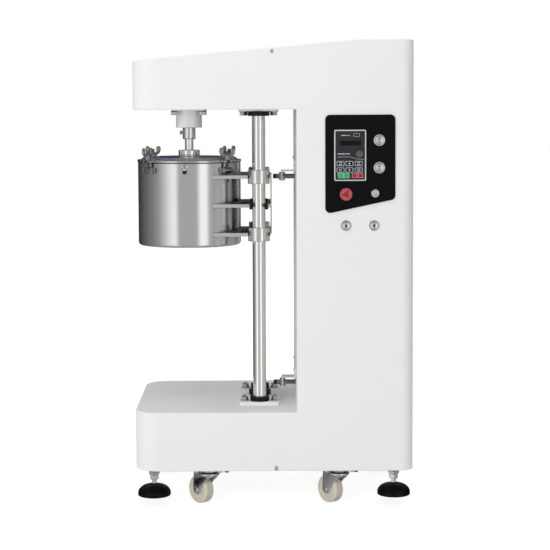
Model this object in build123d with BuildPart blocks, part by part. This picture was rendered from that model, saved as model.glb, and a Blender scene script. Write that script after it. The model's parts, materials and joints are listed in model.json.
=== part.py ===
"""Stirred ball mill: a C-shaped floor cabinet, a lifted jar with a lid, and a stirring spindle.

Millimetres. X runs to the right, Y away from the front, Z up. The origin is on the floor, below
the middle of the machine's outline.
"""
from math import cos, radians, sin
import os

from build123d import *

os.makedirs("parts", exist_ok=True)

# Cabinet
cabinet_width = 630.0
cabinet_depth = 430.0
base_bottom = 85.0
base_top = 219.0
head_top = 1053.5
head_bottom = head_top - 153.5
head_left_top = head_top - 44.5
slope_end_x = 190.0
column_x = 53.0
left_radius = 55.0
right_radius = 27.0
bend_radius = 2.5
wall = 2.5
cover_thickness = 2.0
cover_margin = 12.0
cover_lap = 14.0

# Fits
running_gap = 0.05
slide_gap = 0.3
weld_gap = 0.1

# Spindle, jar and lift share one plane across the machine
spindle_x = -195.0
lift_x = -32.0
work_plane_offset = -22.0
pillar_spread = 84.0

# Spindle
housing_radius = 30.0
housing_bottom = head_bottom - 42.0
housing_top = housing_bottom + 67.0
flange_side = 80.0
flange_thickness = 6.0
flange_bolt_offset = 32.5
bearing_outer_radius = 23.5
bearing_width = 12.0
bearing_gap = 32.0
spindle_radius = 12.5
stub_radius = 10.0
sleeve_radius = 15.0
sleeve_bottom = head_bottom - 69.0
sleeve_top = sleeve_bottom + 29.5
sleeve_joint = sleeve_bottom + 23.0
thumb_screw_z = sleeve_bottom + 15.5
thumb_screw_radius = 4.5
thumb_screw_length = 6.0
thumb_shank_radius = 2.5
pulley_bottom = head_bottom + 42.0
pulley_width = 25.0
spindle_pulley_radius = 65.0
pulley_rim = 4.0
pulley_rim_width = 2.0

# Motor and belt
motor_x = cabinet_width / 2 - 130.0
motor_radius = 75.0
motor_height = 230.0
motor_shaft_radius = 12.0
motor_pulley_radius = 50.0
motor_plate_thickness = 8.0
motor_plate_depth = 300.0
belt_thickness = 5.0
belt_width = 19.0

# Lift
pillar_radius = 15.0
plate_width = 92.0
plate_depth = 210.0
foot_plate_thickness = 8.0
head_plate_thickness = 4.0
plate_bolt_x = 35.0
ring_radius = 22.0
top_ring_radius = 25.0
ring_height = 11.0
screw_ring_radius = 26.0
lead_screw_radius = 9.0
lead_screw_bottom = base_top - 69.0
lift_motor_radius = 38.0
lift_motor_bottom = base_bottom + 11.0
skin_hole_radius = 15.0

# Carrier
carrier_plate_thickness = 8.0
carrier_drops = (31.0, 97.0, 163.0)
tie_thickness = 3.0
tie_outer_x = -2.0
tie_width = 60.0
collar_radius = 25.0
collar_height = 32.0
nut_radius = 20.0
nut_height = 22.0

# Jar
jar_radius = 120.0
jar_wall = 3.0
jar_top = head_bottom - 123.0
jar_bottom = jar_top - 192.0
jar_edge_radius = 8.0
gasket_thickness = 2.0
lid_radius = 121.5
lid_rim = 5.0
lid_rise = 7.0
lid_dome_radius = 108.0
lid_boss_radius = 34.0
lid_bore_radius = 18.0
seal_height = 9.0
gland_radius = 25.5
gland_height = 11.0
gland_neck_radius = 17.0
gland_neck_height = 4.0
gland_lobes = 8
vent_x = spindle_x - 5.0
vent_z = jar_top - 7.0
vent_pipe_radius = 5.0
vent_body_radius = 6.5
vent_reach = 13.0
vent_cap_radius = 4.5
vent_cap_height = 10.0

# Lid closure
closure_count = 4
closure_radius = 129.0
pivot_z = jar_top - 16.0
pin_radius = 3.0
eye_radius = 7.0
eye_width = 13.4
lug_thickness = 6.0
lug_radius = 7.0
stud_radius = 4.0
stud_top = jar_top + 39.0
ear_width = 26.0
ear_reach = 4.0
ear_slot = 10.0
nut_clearance = 0.6
wing_hub_radius = 8.0
wing_hub_height = 13.0
wing_span = 36.0
wing_height = 17.0
wing_thickness = 3.6
wing_base = 6.0
wing_directions = (35.0, 0.0, 90.0, 0.0)

# Stirrer
stirrer_radius = 10.0
stirrer_bottom = jar_bottom + 18.0
stirrer_top = head_bottom - 47.0
arm_radius = 6.0
arm_length = 190.0
arm_rises = (22.0, 57.0, 92.0, 127.0)

# Control panel
panel_left = cabinet_width / 2 - 198.5
panel_right = panel_left + 156.0
panel_top = head_bottom - 12.5
panel_low_left = panel_top - 221.0
panel_low_right = panel_top - 188.0
panel_corner = 11.0
panel_thickness = 3.0
panel_lap = 14.0
keypad_left = panel_left + 19.5
keypad_bottom = panel_top - 147.0
keypad_width = 71.5
keypad_height = 114.0
keypad_rim = 2.8
keypad_rim_depth = 6.5
keypad_corner = 5.0
face_depth = 5.5
window_x = keypad_left + 36.4
window_z = keypad_bottom + 84.3
window_width = 47.0
window_height = 10.5
window_depth = 1.0
speed_knob_x = keypad_left + 56.3
speed_knob_z = keypad_bottom + 60.0
speed_knob_radius = 8.5
speed_knob_height = 7.0
key_column_offsets = (14.3, 34.0, 54.5)
key_row_rises = (39.0, 24.5)
film_key_width = 17.0
film_key_height = 11.0
film_key_depth = 0.6
hard_key_z = keypad_bottom + 12.1
start_key_x = keypad_left + 21.2
stop_key_x = keypad_left + 52.0
hard_key_width = 27.0
hard_key_height = 12.4
hard_key_depth = 4.0
hard_key_stand = 1.2
hard_key_travel = 0.8
metal_button_x = panel_left + 120.3
power_button_z = panel_top - 56.7
light_button_z = panel_top - 117.7
dome_button_z = panel_top - 247.1
raise_button_x = panel_left + 46.5
lower_button_x = panel_left + 109.1
bezel_radius = 13.3
small_bezel_radius = 12.0
bezel_bore = 9.5
bezel_height = 3.0
barrel_radius = 11.0
barrel_length = 22.0
button_length = 18.0
button_stand = 1.5
stop_x = panel_left + 45.9
stop_z = panel_top - 176.0
stop_radius = 15.0
stop_height = 11.0
stop_stem_radius = 7.0
stop_collar_radius = 11.5
stop_lift = 5.0
mode_x = panel_left + 110.9
mode_z = panel_top - 174.5
mode_radius = 9.9
mode_height = 11.0
stem_radius = 3.0
stem_length = 14.0
knob_gap = 0.5

# Sensors
upper_sensor_drop = 33.5
lower_sensor_rise = 37.0
sensor_gap = 3.0
sensor_radius = 6.0
sensor_tip_length = 11.0
sensor_nut_flats = 19.0
sensor_nut_length = 5.0
bracket_width = 34.0
bracket_thickness = 3.0
bracket_rise = 14.5
bracket_drop = 11.0
bracket_x = 20.0
bracket_foot = 22.0

# Fasteners
bolt_flats = 15.5
bolt_head = 8.0
washer_radius = 9.5
washer_height = 2.0
bolt_shank = 4.0
stud_stand = 4.0
screw_head_radius = 4.0
screw_head_height = 2.2
screw_shank = 2.0
flush_head_depth = 1.2

# Running gear
caster_x = cabinet_width / 2 - 167.0
caster_inset = 40.0
caster_plate_length = 70.0
caster_plate_width = 55.0
caster_plate_thickness = 2.5
raceway_radius = 23.0
raceway_height = 8.0
king_pin_radius = 6.0
king_pin_length = 20.0
king_pin_head = 3.0
wheel_radius = 31.5
wheel_width = 24.0
wheel_trail = 28.0
axle_radius = 4.0
fork_thickness = 2.5
fork_gap = 1.0
fork_top_radius = 21.0
fork_leg_width = 20.0
caster_turns = (133.0, 131.0, 12.0, 160.0)
foot_x = cabinet_width / 2 - 41.0
foot_inset = 50.0
foot_disc_radius = 37.5
foot_bottom = 20.0
foot_disc_height = 6.0
foot_dome_height = 18.0
foot_neck_radius = 5.0
foot_nut_flats = 24.0
foot_nut_height = 16.0

# Worked-out planes and places
front_stand = panel_thickness + bezel_height + stop_lift + stop_height
rear_stand = cover_thickness + screw_head_height
cabinet_y = (front_stand - rear_stand) / 2
front_y = cabinet_y - cabinet_depth / 2
rear_y = cabinet_y + cabinet_depth / 2
mid_y = cabinet_y + work_plane_offset
panel_front = front_y - panel_thickness
face_front = panel_front - face_depth
foot_plate_top = base_top + foot_plate_thickness
head_plate_bottom = head_bottom - head_plate_thickness
carrier_levels = [jar_top - drop for drop in carrier_drops]
carrier_level_top, carrier_level_middle, carrier_level_low = carrier_levels
pillar_points = [(lift_x, mid_y - pillar_spread), (lift_x, mid_y + pillar_spread)]
plate_bolts = [(lift_x + side * plate_bolt_x, y) for side in (-1, 1) for _, y in pillar_points]
lid_bottom = jar_top + gasket_thickness
lid_rim_top = lid_bottom + lid_rim
lid_top = lid_rim_top + lid_rise
pulley_top = pulley_bottom + pulley_width
caster_points = [
    (side * caster_x, y) for y in (front_y + caster_inset, rear_y - caster_inset) for side in (-1, 1)
]
foot_points = [(side * foot_x, y) for y in (front_y + foot_inset, rear_y - foot_inset) for side in (-1, 1)]
head_slope = (head_top - head_left_top) / (slope_end_x + cabinet_width / 2)
arm_levels = [stirrer_bottom + rise for rise in arm_rises]
key_columns = [keypad_left + across for across in key_column_offsets]
key_rows = [keypad_bottom + rise for rise in key_row_rises]
sensor_levels = (jar_top - upper_sensor_drop, base_top + lower_sensor_rise)
align_up = (Align.CENTER, Align.CENTER, Align.MIN)


def facing_front(y):
    """A vertical plane at depth y whose normal points to the front."""
    return Plane.XZ.offset(-y)


def facing_right(x):
    """A vertical plane at x whose normal points to the right; its own x runs along Y."""
    return Plane.YZ.offset(x)


def posts(points, bottom, radius, height, mode=Mode.ADD):
    """Upright round posts on the points, from the height bottom."""
    with Locations(*[(x, y, bottom) for x, y in points]):
        Cylinder(radius, height, align=align_up, mode=mode)


def front_posts(points, back, radius, length, mode=Mode.ADD):
    """Round posts that stand forward from the depth back, at points in X and Z."""
    with Locations(*[(x, back, z) for x, z in points]):
        Cylinder(radius, length, rotation=(90, 0, 0), align=align_up, mode=mode)


def side_posts(points, left, radius, length, mode=Mode.ADD):
    """Round posts that run to the right from the place left, at points in Y and Z."""
    with Locations(*[(left, y, z) for y, z in points]):
        Cylinder(radius, length, rotation=(0, 90, 0), align=align_up, mode=mode)


def c_outline(inset, left, right):
    """Corner points of the cabinet's side profile, drawn in by inset, and by left and right at its ends."""
    x0 = -cabinet_width / 2 + left
    x1 = cabinet_width / 2 - right
    left_top = head_left_top + head_slope * left
    return [
        (x0, base_bottom + inset),
        (x1, base_bottom + inset),
        (x1, head_top - inset),
        (slope_end_x, head_top - inset),
        (x0, left_top - inset),
        (x0, head_bottom + inset),
        (column_x + inset, head_bottom + inset),
        (column_x + inset, base_top - inset),
        (x0, base_top - inset),
    ]


def cabinet_volume(inset):
    """The whole cabinet as a solid, drawn in by inset on every side."""
    with BuildPart() as volume:
        with BuildSketch(facing_front(rear_y - inset)):
            with BuildLine():
                Polyline(*c_outline(inset, inset, inset), close=True)
            make_face()
        extrude(amount=cabinet_depth - 2 * inset)
        with BuildSketch() as plan:
            with Locations((0, cabinet_y)):
                Rectangle(cabinet_width - 2 * inset, cabinet_depth - 2 * inset)
            fillet(plan.vertices().group_by(Axis.X)[0], left_radius - inset)
            fillet(plan.vertices().group_by(Axis.X)[-1], right_radius - inset)
        extrude(amount=head_top + wall, mode=Mode.INTERSECT)
        if inset == 0:
            upright = volume.edges().filter_by(Axis.Z)
            inner_bends = upright.filter_by(lambda edge: abs(edge.center().X - column_x) < wall)
            fillet(volume.edges() - upright + inner_bends, bend_radius)
    return volume.part


def panel_outline(inset):
    """Corner points of the control panel with its slanted lower edge, drawn in by inset."""
    return [
        (panel_left + inset, panel_low_left + inset),
        (panel_right - inset, panel_low_right + inset),
        (panel_right - inset, panel_top - inset),
        (panel_left + inset, panel_top - inset),
    ]


# Places of the cover screws: rear cover, front, right side and column face
cover_screw_inset = cover_margin + 8.0
rear_left_x = -cabinet_width / 2 + left_radius + cover_screw_inset
rear_right_x = cabinet_width / 2 - right_radius - cover_screw_inset
rear_inner_x = column_x + cover_screw_inset
rear_low_z = base_bottom + cover_screw_inset
rear_head_z = head_bottom + cover_screw_inset
rear_column_levels = (base_top + 181.0, head_bottom - 250.0)
rear_screw_points = [
    (rear_left_x, rear_low_z),
    (rear_inner_x, rear_low_z),
    (rear_right_x, rear_low_z),
    (rear_left_x, base_top - cover_screw_inset),
    (rear_left_x, rear_head_z),
    (lift_x, rear_head_z),
    (rear_right_x, rear_head_z),
    (rear_right_x, head_top - cover_screw_inset),
    (rear_inner_x, head_top - cover_screw_inset - wall - head_slope * (slope_end_x - rear_inner_x)),
]
rear_screw_points += [(x, z) for x in (rear_inner_x, rear_right_x) for z in rear_column_levels]
front_screw_points = [(-1.0, head_top - 25.5), (6.0, base_bottom + 7.0)]
side_screw_y = front_y + 65.0
side_screw_points = [(side_screw_y, z) for z in (head_bottom - 208.0, base_top + 287.0, base_top + 103.0)]
column_screw_y = rear_y - 35.0
column_screw_points = [(column_screw_y, z) for z in (head_bottom - 119.0, base_top + 64.0, base_top + 32.0)]
panel_button_points = [(metal_button_x, power_button_z), (metal_button_x, light_button_z)]
dome_button_points = [(raise_button_x, dome_button_z), (lower_button_x, dome_button_z)]
flange_bolts = [
    (spindle_x + sx * flange_bolt_offset, mid_y + sy * flange_bolt_offset) for sx in (-1, 1) for sy in (-1, 1)
]

# Cabinet shell, open at the back and below
outer_volume = cabinet_volume(0)
inner_volume = cabinet_volume(wall)
with BuildPart() as cabinet_shell:
    add(outer_volume)
    add(inner_volume, mode=Mode.SUBTRACT)
    with BuildSketch(facing_front(rear_y)):
        with BuildLine():
            Polyline(
                *c_outline(
                    cover_margin + cover_lap,
                    left_radius + cover_margin + cover_lap,
                    right_radius + cover_margin + cover_lap,
                ),
                close=True,
            )
        make_face()
    extrude(amount=wall, mode=Mode.SUBTRACT)
    with BuildSketch(facing_front(front_y + wall)):
        with BuildLine():
            Polyline(*panel_outline(panel_lap), close=True)
        make_face()
    extrude(amount=wall, mode=Mode.SUBTRACT)
    front_posts(dome_button_points, front_y + 2 * wall, barrel_radius, 3 * wall, mode=Mode.SUBTRACT)
    posts([(spindle_x, mid_y)], head_bottom - wall, housing_radius, 3 * wall, mode=Mode.SUBTRACT)
    posts([(lift_x, mid_y)], base_top - 2 * wall, skin_hole_radius, 3 * wall, mode=Mode.SUBTRACT)
    posts(plate_bolts, head_bottom - wall, bolt_shank, 3 * wall, mode=Mode.SUBTRACT)
    posts(plate_bolts, base_top - 2 * wall, bolt_shank, 3 * wall, mode=Mode.SUBTRACT)
    posts(flange_bolts, head_bottom - wall, bolt_shank, 3 * wall, mode=Mode.SUBTRACT)
    posts(foot_points, base_bottom - wall, foot_neck_radius + running_gap, 3 * wall, mode=Mode.SUBTRACT)
    front_posts(rear_screw_points, rear_y + wall, screw_shank, 3 * wall, mode=Mode.SUBTRACT)
    front_posts(front_screw_points, front_y + 2 * wall, screw_shank, 3 * wall, mode=Mode.SUBTRACT)
    side_posts(side_screw_points, cabinet_width / 2 - 2 * wall, screw_shank, 3 * wall, mode=Mode.SUBTRACT)
    side_posts(
        side_screw_points, cabinet_width / 2 - flush_head_depth, screw_head_radius, wall, mode=Mode.SUBTRACT
    )
    side_posts(column_screw_points, column_x - wall, screw_shank, 3 * wall, mode=Mode.SUBTRACT)
    side_posts([(mid_y, z) for z in sensor_levels], column_x - wall, sensor_radius, 3 * wall, mode=Mode.SUBTRACT)
cabinet_shell.part.label = "cabinet_shell"
export_step(cabinet_shell.part, "parts/cabinet_shell.step")

# Rear cover, on the outside of the back
with BuildPart() as rear_cover:
    with BuildSketch(facing_front(rear_y + cover_thickness)):
        with BuildLine():
            Polyline(
                *c_outline(cover_margin, left_radius + cover_margin, right_radius + cover_margin), close=True
            )
        make_face()
    extrude(amount=cover_thickness)
    front_posts(rear_screw_points, rear_y + 2 * cover_thickness, screw_shank, 3 * cover_thickness, mode=Mode.SUBTRACT)
rear_cover.part.label = "rear_cover"
export_step(rear_cover.part, "parts/rear_cover.step")

# Cover screws
with BuildPart() as cover_screws:
    with Locations(*[(x, rear_y + cover_thickness, z) for x, z in rear_screw_points]):
        Cylinder(screw_head_radius, screw_head_height, rotation=(-90, 0, 0), align=align_up)
    front_posts(rear_screw_points, rear_y + cover_thickness, screw_shank, cover_thickness + 2 * wall)
    front_posts(front_screw_points, front_y, screw_head_radius, screw_head_height)
    front_posts(front_screw_points, front_y + 2 * wall, screw_shank, 2 * wall)
    side_posts(side_screw_points, cabinet_width / 2 - flush_head_depth, screw_head_radius, flush_head_depth)
    side_posts(side_screw_points, cabinet_width / 2 - 2 * wall, screw_shank, 2 * wall)
    side_posts(column_screw_points, column_x - screw_head_height, screw_head_radius, screw_head_height)
    side_posts(column_screw_points, column_x, screw_shank, 2 * wall)
cover_screws.part.label = "cover_screws"
export_step(cover_screws.part, "parts/cover_screws.step")

# Spindle housing: tube through the head's underside, with a square flange below it
bearing_bottom = housing_bottom + 4.0
upper_bearing_bottom = bearing_bottom + bearing_width + bearing_gap
with BuildPart() as spindle_housing:
    posts([(spindle_x, mid_y)], housing_bottom, housing_radius, housing_top - housing_bottom)
    with BuildSketch(Plane.XY.offset(head_bottom - flange_thickness)):
        with Locations((spindle_x, mid_y)):
            RectangleRounded(flange_side, flange_side, bolt_shank * 2)
    extrude(amount=flange_thickness)
    chamfer(spindle_housing.faces().sort_by(Axis.Z)[0].edges(), 1.5)
    posts([(spindle_x, mid_y)], housing_bottom, bearing_outer_radius, housing_top - housing_bottom, Mode.SUBTRACT)
    posts(flange_bolts, head_bottom - flange_thickness, bolt_shank, flange_thickness, mode=Mode.SUBTRACT)
spindle_housing.part.label = "spindle_housing"
export_step(spindle_housing.part, "parts/spindle_housing.step")

# Ball bearings of the spindle, simplified to plain rings
with BuildPart() as bearings:
    for level in (bearing_bottom, upper_bearing_bottom):
        posts([(spindle_x, mid_y)], level, bearing_outer_radius, bearing_width)
        posts([(spindle_x, mid_y)], level, spindle_radius + running_gap, bearing_width, mode=Mode.SUBTRACT)
bearings.part.label = "bearings"
export_step(bearings.part, "parts/bearings.step")

# Spindle shaft, with a stub that the coupling sleeve grips
with BuildPart() as spindle_shaft:
    posts([(spindle_x, mid_y)], bearing_bottom, spindle_radius, pulley_top - bearing_bottom + 6.0)
    posts([(spindle_x, mid_y)], sleeve_joint, stub_radius, bearing_bottom - sleeve_joint)
spindle_shaft.part.label = "spindle_shaft"
export_step(spindle_shaft.part, "parts/spindle_shaft.step")


def pulley(x, radius, bore):
    """A flat-belt pulley with two low rims, in the belt's plane."""
    with BuildPart() as wheel:
        posts([(x, mid_y)], pulley_bottom, radius, pulley_width)
        posts([(x, mid_y)], pulley_bottom, radius + pulley_rim, pulley_rim_width)
        posts([(x, mid_y)], pulley_top - pulley_rim_width, radius + pulley_rim, pulley_rim_width)
        posts([(x, mid_y)], pulley_bottom, bore, pulley_width, mode=Mode.SUBTRACT)
    return wheel.part


spindle_pulley_solid = pulley(spindle_x, spindle_pulley_radius, spindle_radius)
with BuildPart() as spindle_pulley:
    add(spindle_pulley_solid)
spindle_pulley.part.label = "spindle_pulley"
export_step(spindle_pulley.part, "parts/spindle_pulley.step")

# Coupling sleeve with its thumb screw, which stops just short of the stirrer shaft
with BuildPart() as coupling_sleeve:
    posts([(spindle_x, mid_y)], sleeve_bottom, sleeve_radius, sleeve_top - sleeve_bottom)
    chamfer(coupling_sleeve.edges().group_by(Axis.Z)[0], 0.8)
    posts(
        [(spindle_x, mid_y)],
        sleeve_bottom,
        stirrer_radius + running_gap,
        sleeve_joint - sleeve_bottom,
        mode=Mode.SUBTRACT,
    )
    posts([(spindle_x, mid_y)], sleeve_joint, stub_radius, sleeve_top - sleeve_joint, mode=Mode.SUBTRACT)
    thumb_x = spindle_x - sleeve_radius
    side_posts(
        [(mid_y, thumb_screw_z)], thumb_x, thumb_shank_radius, sleeve_radius - stirrer_radius, mode=Mode.SUBTRACT
    )
    side_posts(
        [(mid_y, thumb_screw_z)], thumb_x - 1.0, thumb_shank_radius, 1.0 + sleeve_radius - stirrer_radius - slide_gap
    )
    side_posts([(mid_y, thumb_screw_z)], thumb_x - 1.0 - thumb_screw_length, thumb_screw_radius, thumb_screw_length)
coupling_sleeve.part.label = "coupling_sleeve"
export_step(coupling_sleeve.part, "parts/coupling_sleeve.step")

# Main motor in the column, hung from a plate between the column's walls
motor_plate_bottom = pulley_bottom - 22.0
with BuildPart() as main_motor:
    with BuildSketch(Plane.XY.offset(motor_plate_bottom)):
        with Locations(((column_x + cabinet_width / 2) / 2, mid_y)):
            Rectangle(cabinet_width / 2 - column_x - 2 * wall, motor_plate_depth)
    extrude(amount=motor_plate_thickness)
    posts([(motor_x, mid_y)], motor_plate_bottom, motor_radius / 2, motor_plate_thickness, mode=Mode.SUBTRACT)
    posts([(motor_x, mid_y)], motor_plate_bottom - motor_height, motor_radius, motor_height)
    posts(
        [(motor_x, mid_y)],
        motor_plate_bottom - motor_height,
        motor_shaft_radius + running_gap,
        motor_height,
        mode=Mode.SUBTRACT,
    )
main_motor.part.label = "main_motor"
export_step(main_motor.part, "parts/main_motor.step")

# Motor shaft with its pulley
motor_pulley_solid = pulley(motor_x, motor_pulley_radius, motor_shaft_radius)
with BuildPart() as motor_rotor:
    posts([(motor_x, mid_y)], motor_plate_bottom - motor_height, motor_shaft_radius, motor_height + 22.0)
    add(motor_pulley_solid)
    posts([(motor_x, mid_y)], pulley_bottom, motor_shaft_radius, pulley_width + 4.0)
motor_rotor.part.label = "motor_rotor"
export_step(motor_rotor.part, "parts/motor_rotor.step")

# Belt round both pulleys
with BuildPart() as drive_belt:
    with BuildSketch(Plane.XY.offset((pulley_bottom + pulley_top - belt_width) / 2)):
        with BuildSketch(mode=Mode.PRIVATE) as belt_ends:
            with Locations((spindle_x, mid_y)):
                Circle(spindle_pulley_radius + slide_gap)
            with Locations((motor_x, mid_y)):
                Circle(motor_pulley_radius + slide_gap)
        make_hull(belt_ends.edges())
        offset(amount=belt_thickness)
        make_hull(belt_ends.edges(), mode=Mode.SUBTRACT)
    extrude(amount=belt_width)
drive_belt.part.label = "drive_belt"
export_step(drive_belt.part, "parts/drive_belt.step")

# Pillar plates on the base and under the head
with BuildPart() as pillar_plates:
    for level, thickness in ((base_top, foot_plate_thickness), (head_plate_bottom, head_plate_thickness)):
        with BuildSketch(Plane.XY.offset(level)):
            with Locations((lift_x, mid_y)):
                RectangleRounded(plate_width, plate_depth, 6.0)
        extrude(amount=thickness)
        posts(pillar_points, level, pillar_radius, thickness, mode=Mode.SUBTRACT)
        posts(plate_bolts, level, bolt_shank, thickness, mode=Mode.SUBTRACT)
        posts([(lift_x, mid_y)], level, skin_hole_radius, thickness, mode=Mode.SUBTRACT)
pillar_plates.part.label = "pillar_plates"
export_step(pillar_plates.part, "parts/pillar_plates.step")

# Guide pillars
with BuildPart() as guide_pillars:
    posts(pillar_points, base_top, pillar_radius, head_bottom - base_top)
guide_pillars.part.label = "guide_pillars"
export_step(guide_pillars.part, "parts/guide_pillars.step")

# Black clamp rings of the pillars and the bearings of the lead screw
top_ring_bottom = head_plate_bottom - ring_height
with BuildPart() as pillar_flanges:
    posts(pillar_points, foot_plate_top, ring_radius, ring_height)
    posts(pillar_points, top_ring_bottom, top_ring_radius, ring_height)
    for level in (foot_plate_top, top_ring_bottom):
        posts([(lift_x, mid_y)], level, screw_ring_radius, ring_height)
        posts([(lift_x, mid_y)], level, lead_screw_radius + running_gap, ring_height, mode=Mode.SUBTRACT)
        posts(pillar_points, level, pillar_radius, ring_height, mode=Mode.SUBTRACT)
pillar_flanges.part.label = "pillar_flanges"
export_step(pillar_flanges.part, "parts/pillar_flanges.step")

# Lift motor under the base's top skin
with BuildPart() as lift_motor:
    posts([(lift_x, mid_y)], lift_motor_bottom, lift_motor_radius, base_top - wall - lift_motor_bottom)
    posts(
        [(lift_x, mid_y)],
        lead_screw_bottom,
        lead_screw_radius + running_gap,
        base_top - wall - lead_screw_bottom,
        mode=Mode.SUBTRACT,
    )
lift_motor.part.label = "lift_motor"
export_step(lift_motor.part, "parts/lift_motor.step")

# Lead screw, drawn as a plain rod at its crest size
with BuildPart() as lead_screw:
    posts([(lift_x, mid_y)], lead_screw_bottom + 1.0, lead_screw_radius, head_plate_bottom - lead_screw_bottom - 1.0)
lead_screw.part.label = "lead_screw"
export_step(lead_screw.part, "parts/lead_screw.step")


def hex_prisms(points, bottom, flats, height):
    """Hexagonal prisms on the points, bored or solid as the caller needs."""
    with BuildPart() as prisms:
        with BuildSketch(Plane.XY.offset(bottom)):
            with Locations(*points):
                RegularPolygon(flats / 2, 6, major_radius=False)
        extrude(amount=height)
    return prisms.part


# Hex bolts with washers at the plates and the housing, and the feet's lock nuts
low_bolt_heads = hex_prisms(plate_bolts, foot_plate_top + washer_height, bolt_flats, bolt_head)
top_bolt_heads = hex_prisms(plate_bolts, head_plate_bottom - washer_height - bolt_head, bolt_flats, bolt_head)
housing_bolt_heads = hex_prisms(
    flange_bolts, head_bottom - flange_thickness - bolt_head, bolt_flats, bolt_head
)
foot_nut_heads = hex_prisms(foot_points, base_bottom - foot_nut_height, foot_nut_flats, foot_nut_height)
with BuildPart() as hex_fasteners:
    add(low_bolt_heads)
    add(top_bolt_heads)
    add(housing_bolt_heads)
    add(foot_nut_heads)
    posts(plate_bolts, foot_plate_top, washer_radius, washer_height)
    posts(plate_bolts, head_plate_bottom - washer_height, washer_radius, washer_height)
    bolt_low_end = base_top - 4 * wall
    posts(plate_bolts, bolt_low_end, bolt_shank, foot_plate_top + washer_height + bolt_head + stud_stand - bolt_low_end)
    posts(plate_bolts, head_plate_bottom - washer_height, bolt_shank, 4 * wall + washer_height + head_plate_thickness)
    posts(flange_bolts, head_bottom - flange_thickness, bolt_shank, 4 * wall + flange_thickness)
    posts(
        foot_points, base_bottom - foot_nut_height, foot_neck_radius + running_gap, foot_nut_height, Mode.SUBTRACT
    )
hex_fasteners.part.label = "hex_fasteners"
export_step(hex_fasteners.part, "parts/hex_fasteners.step")

# Carrier frame: three plates welded to the jar, and a tie plate
with BuildPart() as carrier_frame:
    for level in carrier_levels:
        with BuildSketch(Plane.XY.offset(level - carrier_plate_thickness / 2)):
            plate_right = tie_outer_x - tie_thickness
            with Locations(((spindle_x + plate_right) / 2, mid_y)):
                Rectangle(plate_right - spindle_x, plate_depth)
            with Locations((spindle_x, mid_y)):
                Circle(jar_radius + weld_gap, mode=Mode.SUBTRACT)
        extrude(amount=carrier_plate_thickness)
    for level in (carrier_level_top, carrier_level_low):
        posts(
            pillar_points,
            level - carrier_plate_thickness,
            collar_radius,
            2 * carrier_plate_thickness,
            mode=Mode.SUBTRACT,
        )
    posts(
        pillar_points,
        carrier_level_middle - carrier_plate_thickness,
        pillar_radius + 2.0,
        2 * carrier_plate_thickness,
        mode=Mode.SUBTRACT,
    )
    posts(
        [(lift_x, mid_y)],
        carrier_level_low - carrier_plate_thickness,
        lead_screw_radius + 1.0,
        carrier_level_top - carrier_level_low + 2 * carrier_plate_thickness,
        mode=Mode.SUBTRACT,
    )
    posts(
        [(lift_x, mid_y)],
        carrier_level_middle - carrier_plate_thickness,
        nut_radius,
        2 * carrier_plate_thickness,
        mode=Mode.SUBTRACT,
    )
    with Locations((tie_outer_x - tie_thickness / 2, mid_y, (carrier_level_top + carrier_level_low) / 2)):
        Box(tie_thickness, tie_width, carrier_level_top - carrier_level_low + carrier_plate_thickness)
carrier_frame.part.label = "carrier_frame"
export_step(carrier_frame.part, "parts/carrier_frame.step")

# Guide collars on the pillars
with BuildPart() as guide_collars:
    for level in (carrier_level_top, carrier_level_low):
        posts(pillar_points, level - collar_height / 2, collar_radius, collar_height)
        posts(
            pillar_points, level - collar_height / 2, pillar_radius + running_gap, collar_height, mode=Mode.SUBTRACT
        )
guide_collars.part.label = "guide_collars"
export_step(guide_collars.part, "parts/guide_collars.step")

# Nut on the lead screw
with BuildPart() as lift_nut:
    nut_bottom = carrier_level_middle - nut_height / 2
    posts([(lift_x, mid_y)], nut_bottom, nut_radius, nut_height)
    posts([(lift_x, mid_y)], nut_bottom, lead_screw_radius + running_gap, nut_height, mode=Mode.SUBTRACT)
lift_nut.part.label = "lift_nut"
export_step(lift_nut.part, "parts/lift_nut.step")


def closure_plane(index):
    """The upright plane of one lid closure: its x runs outward from the jar's axis, its y runs up."""
    angle = radians(45 + index * 360 / closure_count)
    outward = (cos(angle), sin(angle), 0)
    across = (sin(angle), -cos(angle), 0)
    return Plane(origin=(spindle_x, mid_y, 0), x_dir=outward, z_dir=across)


closure_planes = [closure_plane(index) for index in range(closure_count)]


def hinge_lug(plane, offset_across):
    """One lug of a lid closure, from inside the jar's wall to its round end, with the pin's hole."""
    with BuildPart() as lug:
        with BuildSketch(plane.offset(offset_across)):
            with Locations((closure_radius, pivot_z)):
                Circle(lug_radius)
            with Locations(((jar_radius - jar_wall / 2 + closure_radius) / 2, pivot_z)):
                Rectangle(closure_radius - jar_radius + jar_wall / 2, 2 * lug_radius)
            with Locations((closure_radius, pivot_z)):
                Circle(pin_radius + running_gap, mode=Mode.SUBTRACT)
        extrude(amount=lug_thickness)
    return lug.part


lugs = []
for plane in closure_planes:
    lugs.append(hinge_lug(plane, eye_width / 2 + slide_gap))
    lugs.append(hinge_lug(plane, -eye_width / 2 - slide_gap - lug_thickness))

# Jar with its hinge lugs and the vent's hole
with BuildPart() as jar:
    posts([(spindle_x, mid_y)], jar_bottom, jar_radius, jar_top - jar_bottom)
    fillet(jar.edges().group_by(Axis.Z)[0], jar_edge_radius)
    offset(amount=-jar_wall, openings=jar.faces().sort_by(Axis.Z)[-1])
    for lug in lugs:
        add(lug)
    front_posts([(vent_x, vent_z)], mid_y - jar_radius + 4 * jar_wall, 3.0, 5 * jar_wall, mode=Mode.SUBTRACT)
jar.part.label = "jar"
export_step(jar.part, "parts/jar.step")

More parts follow.
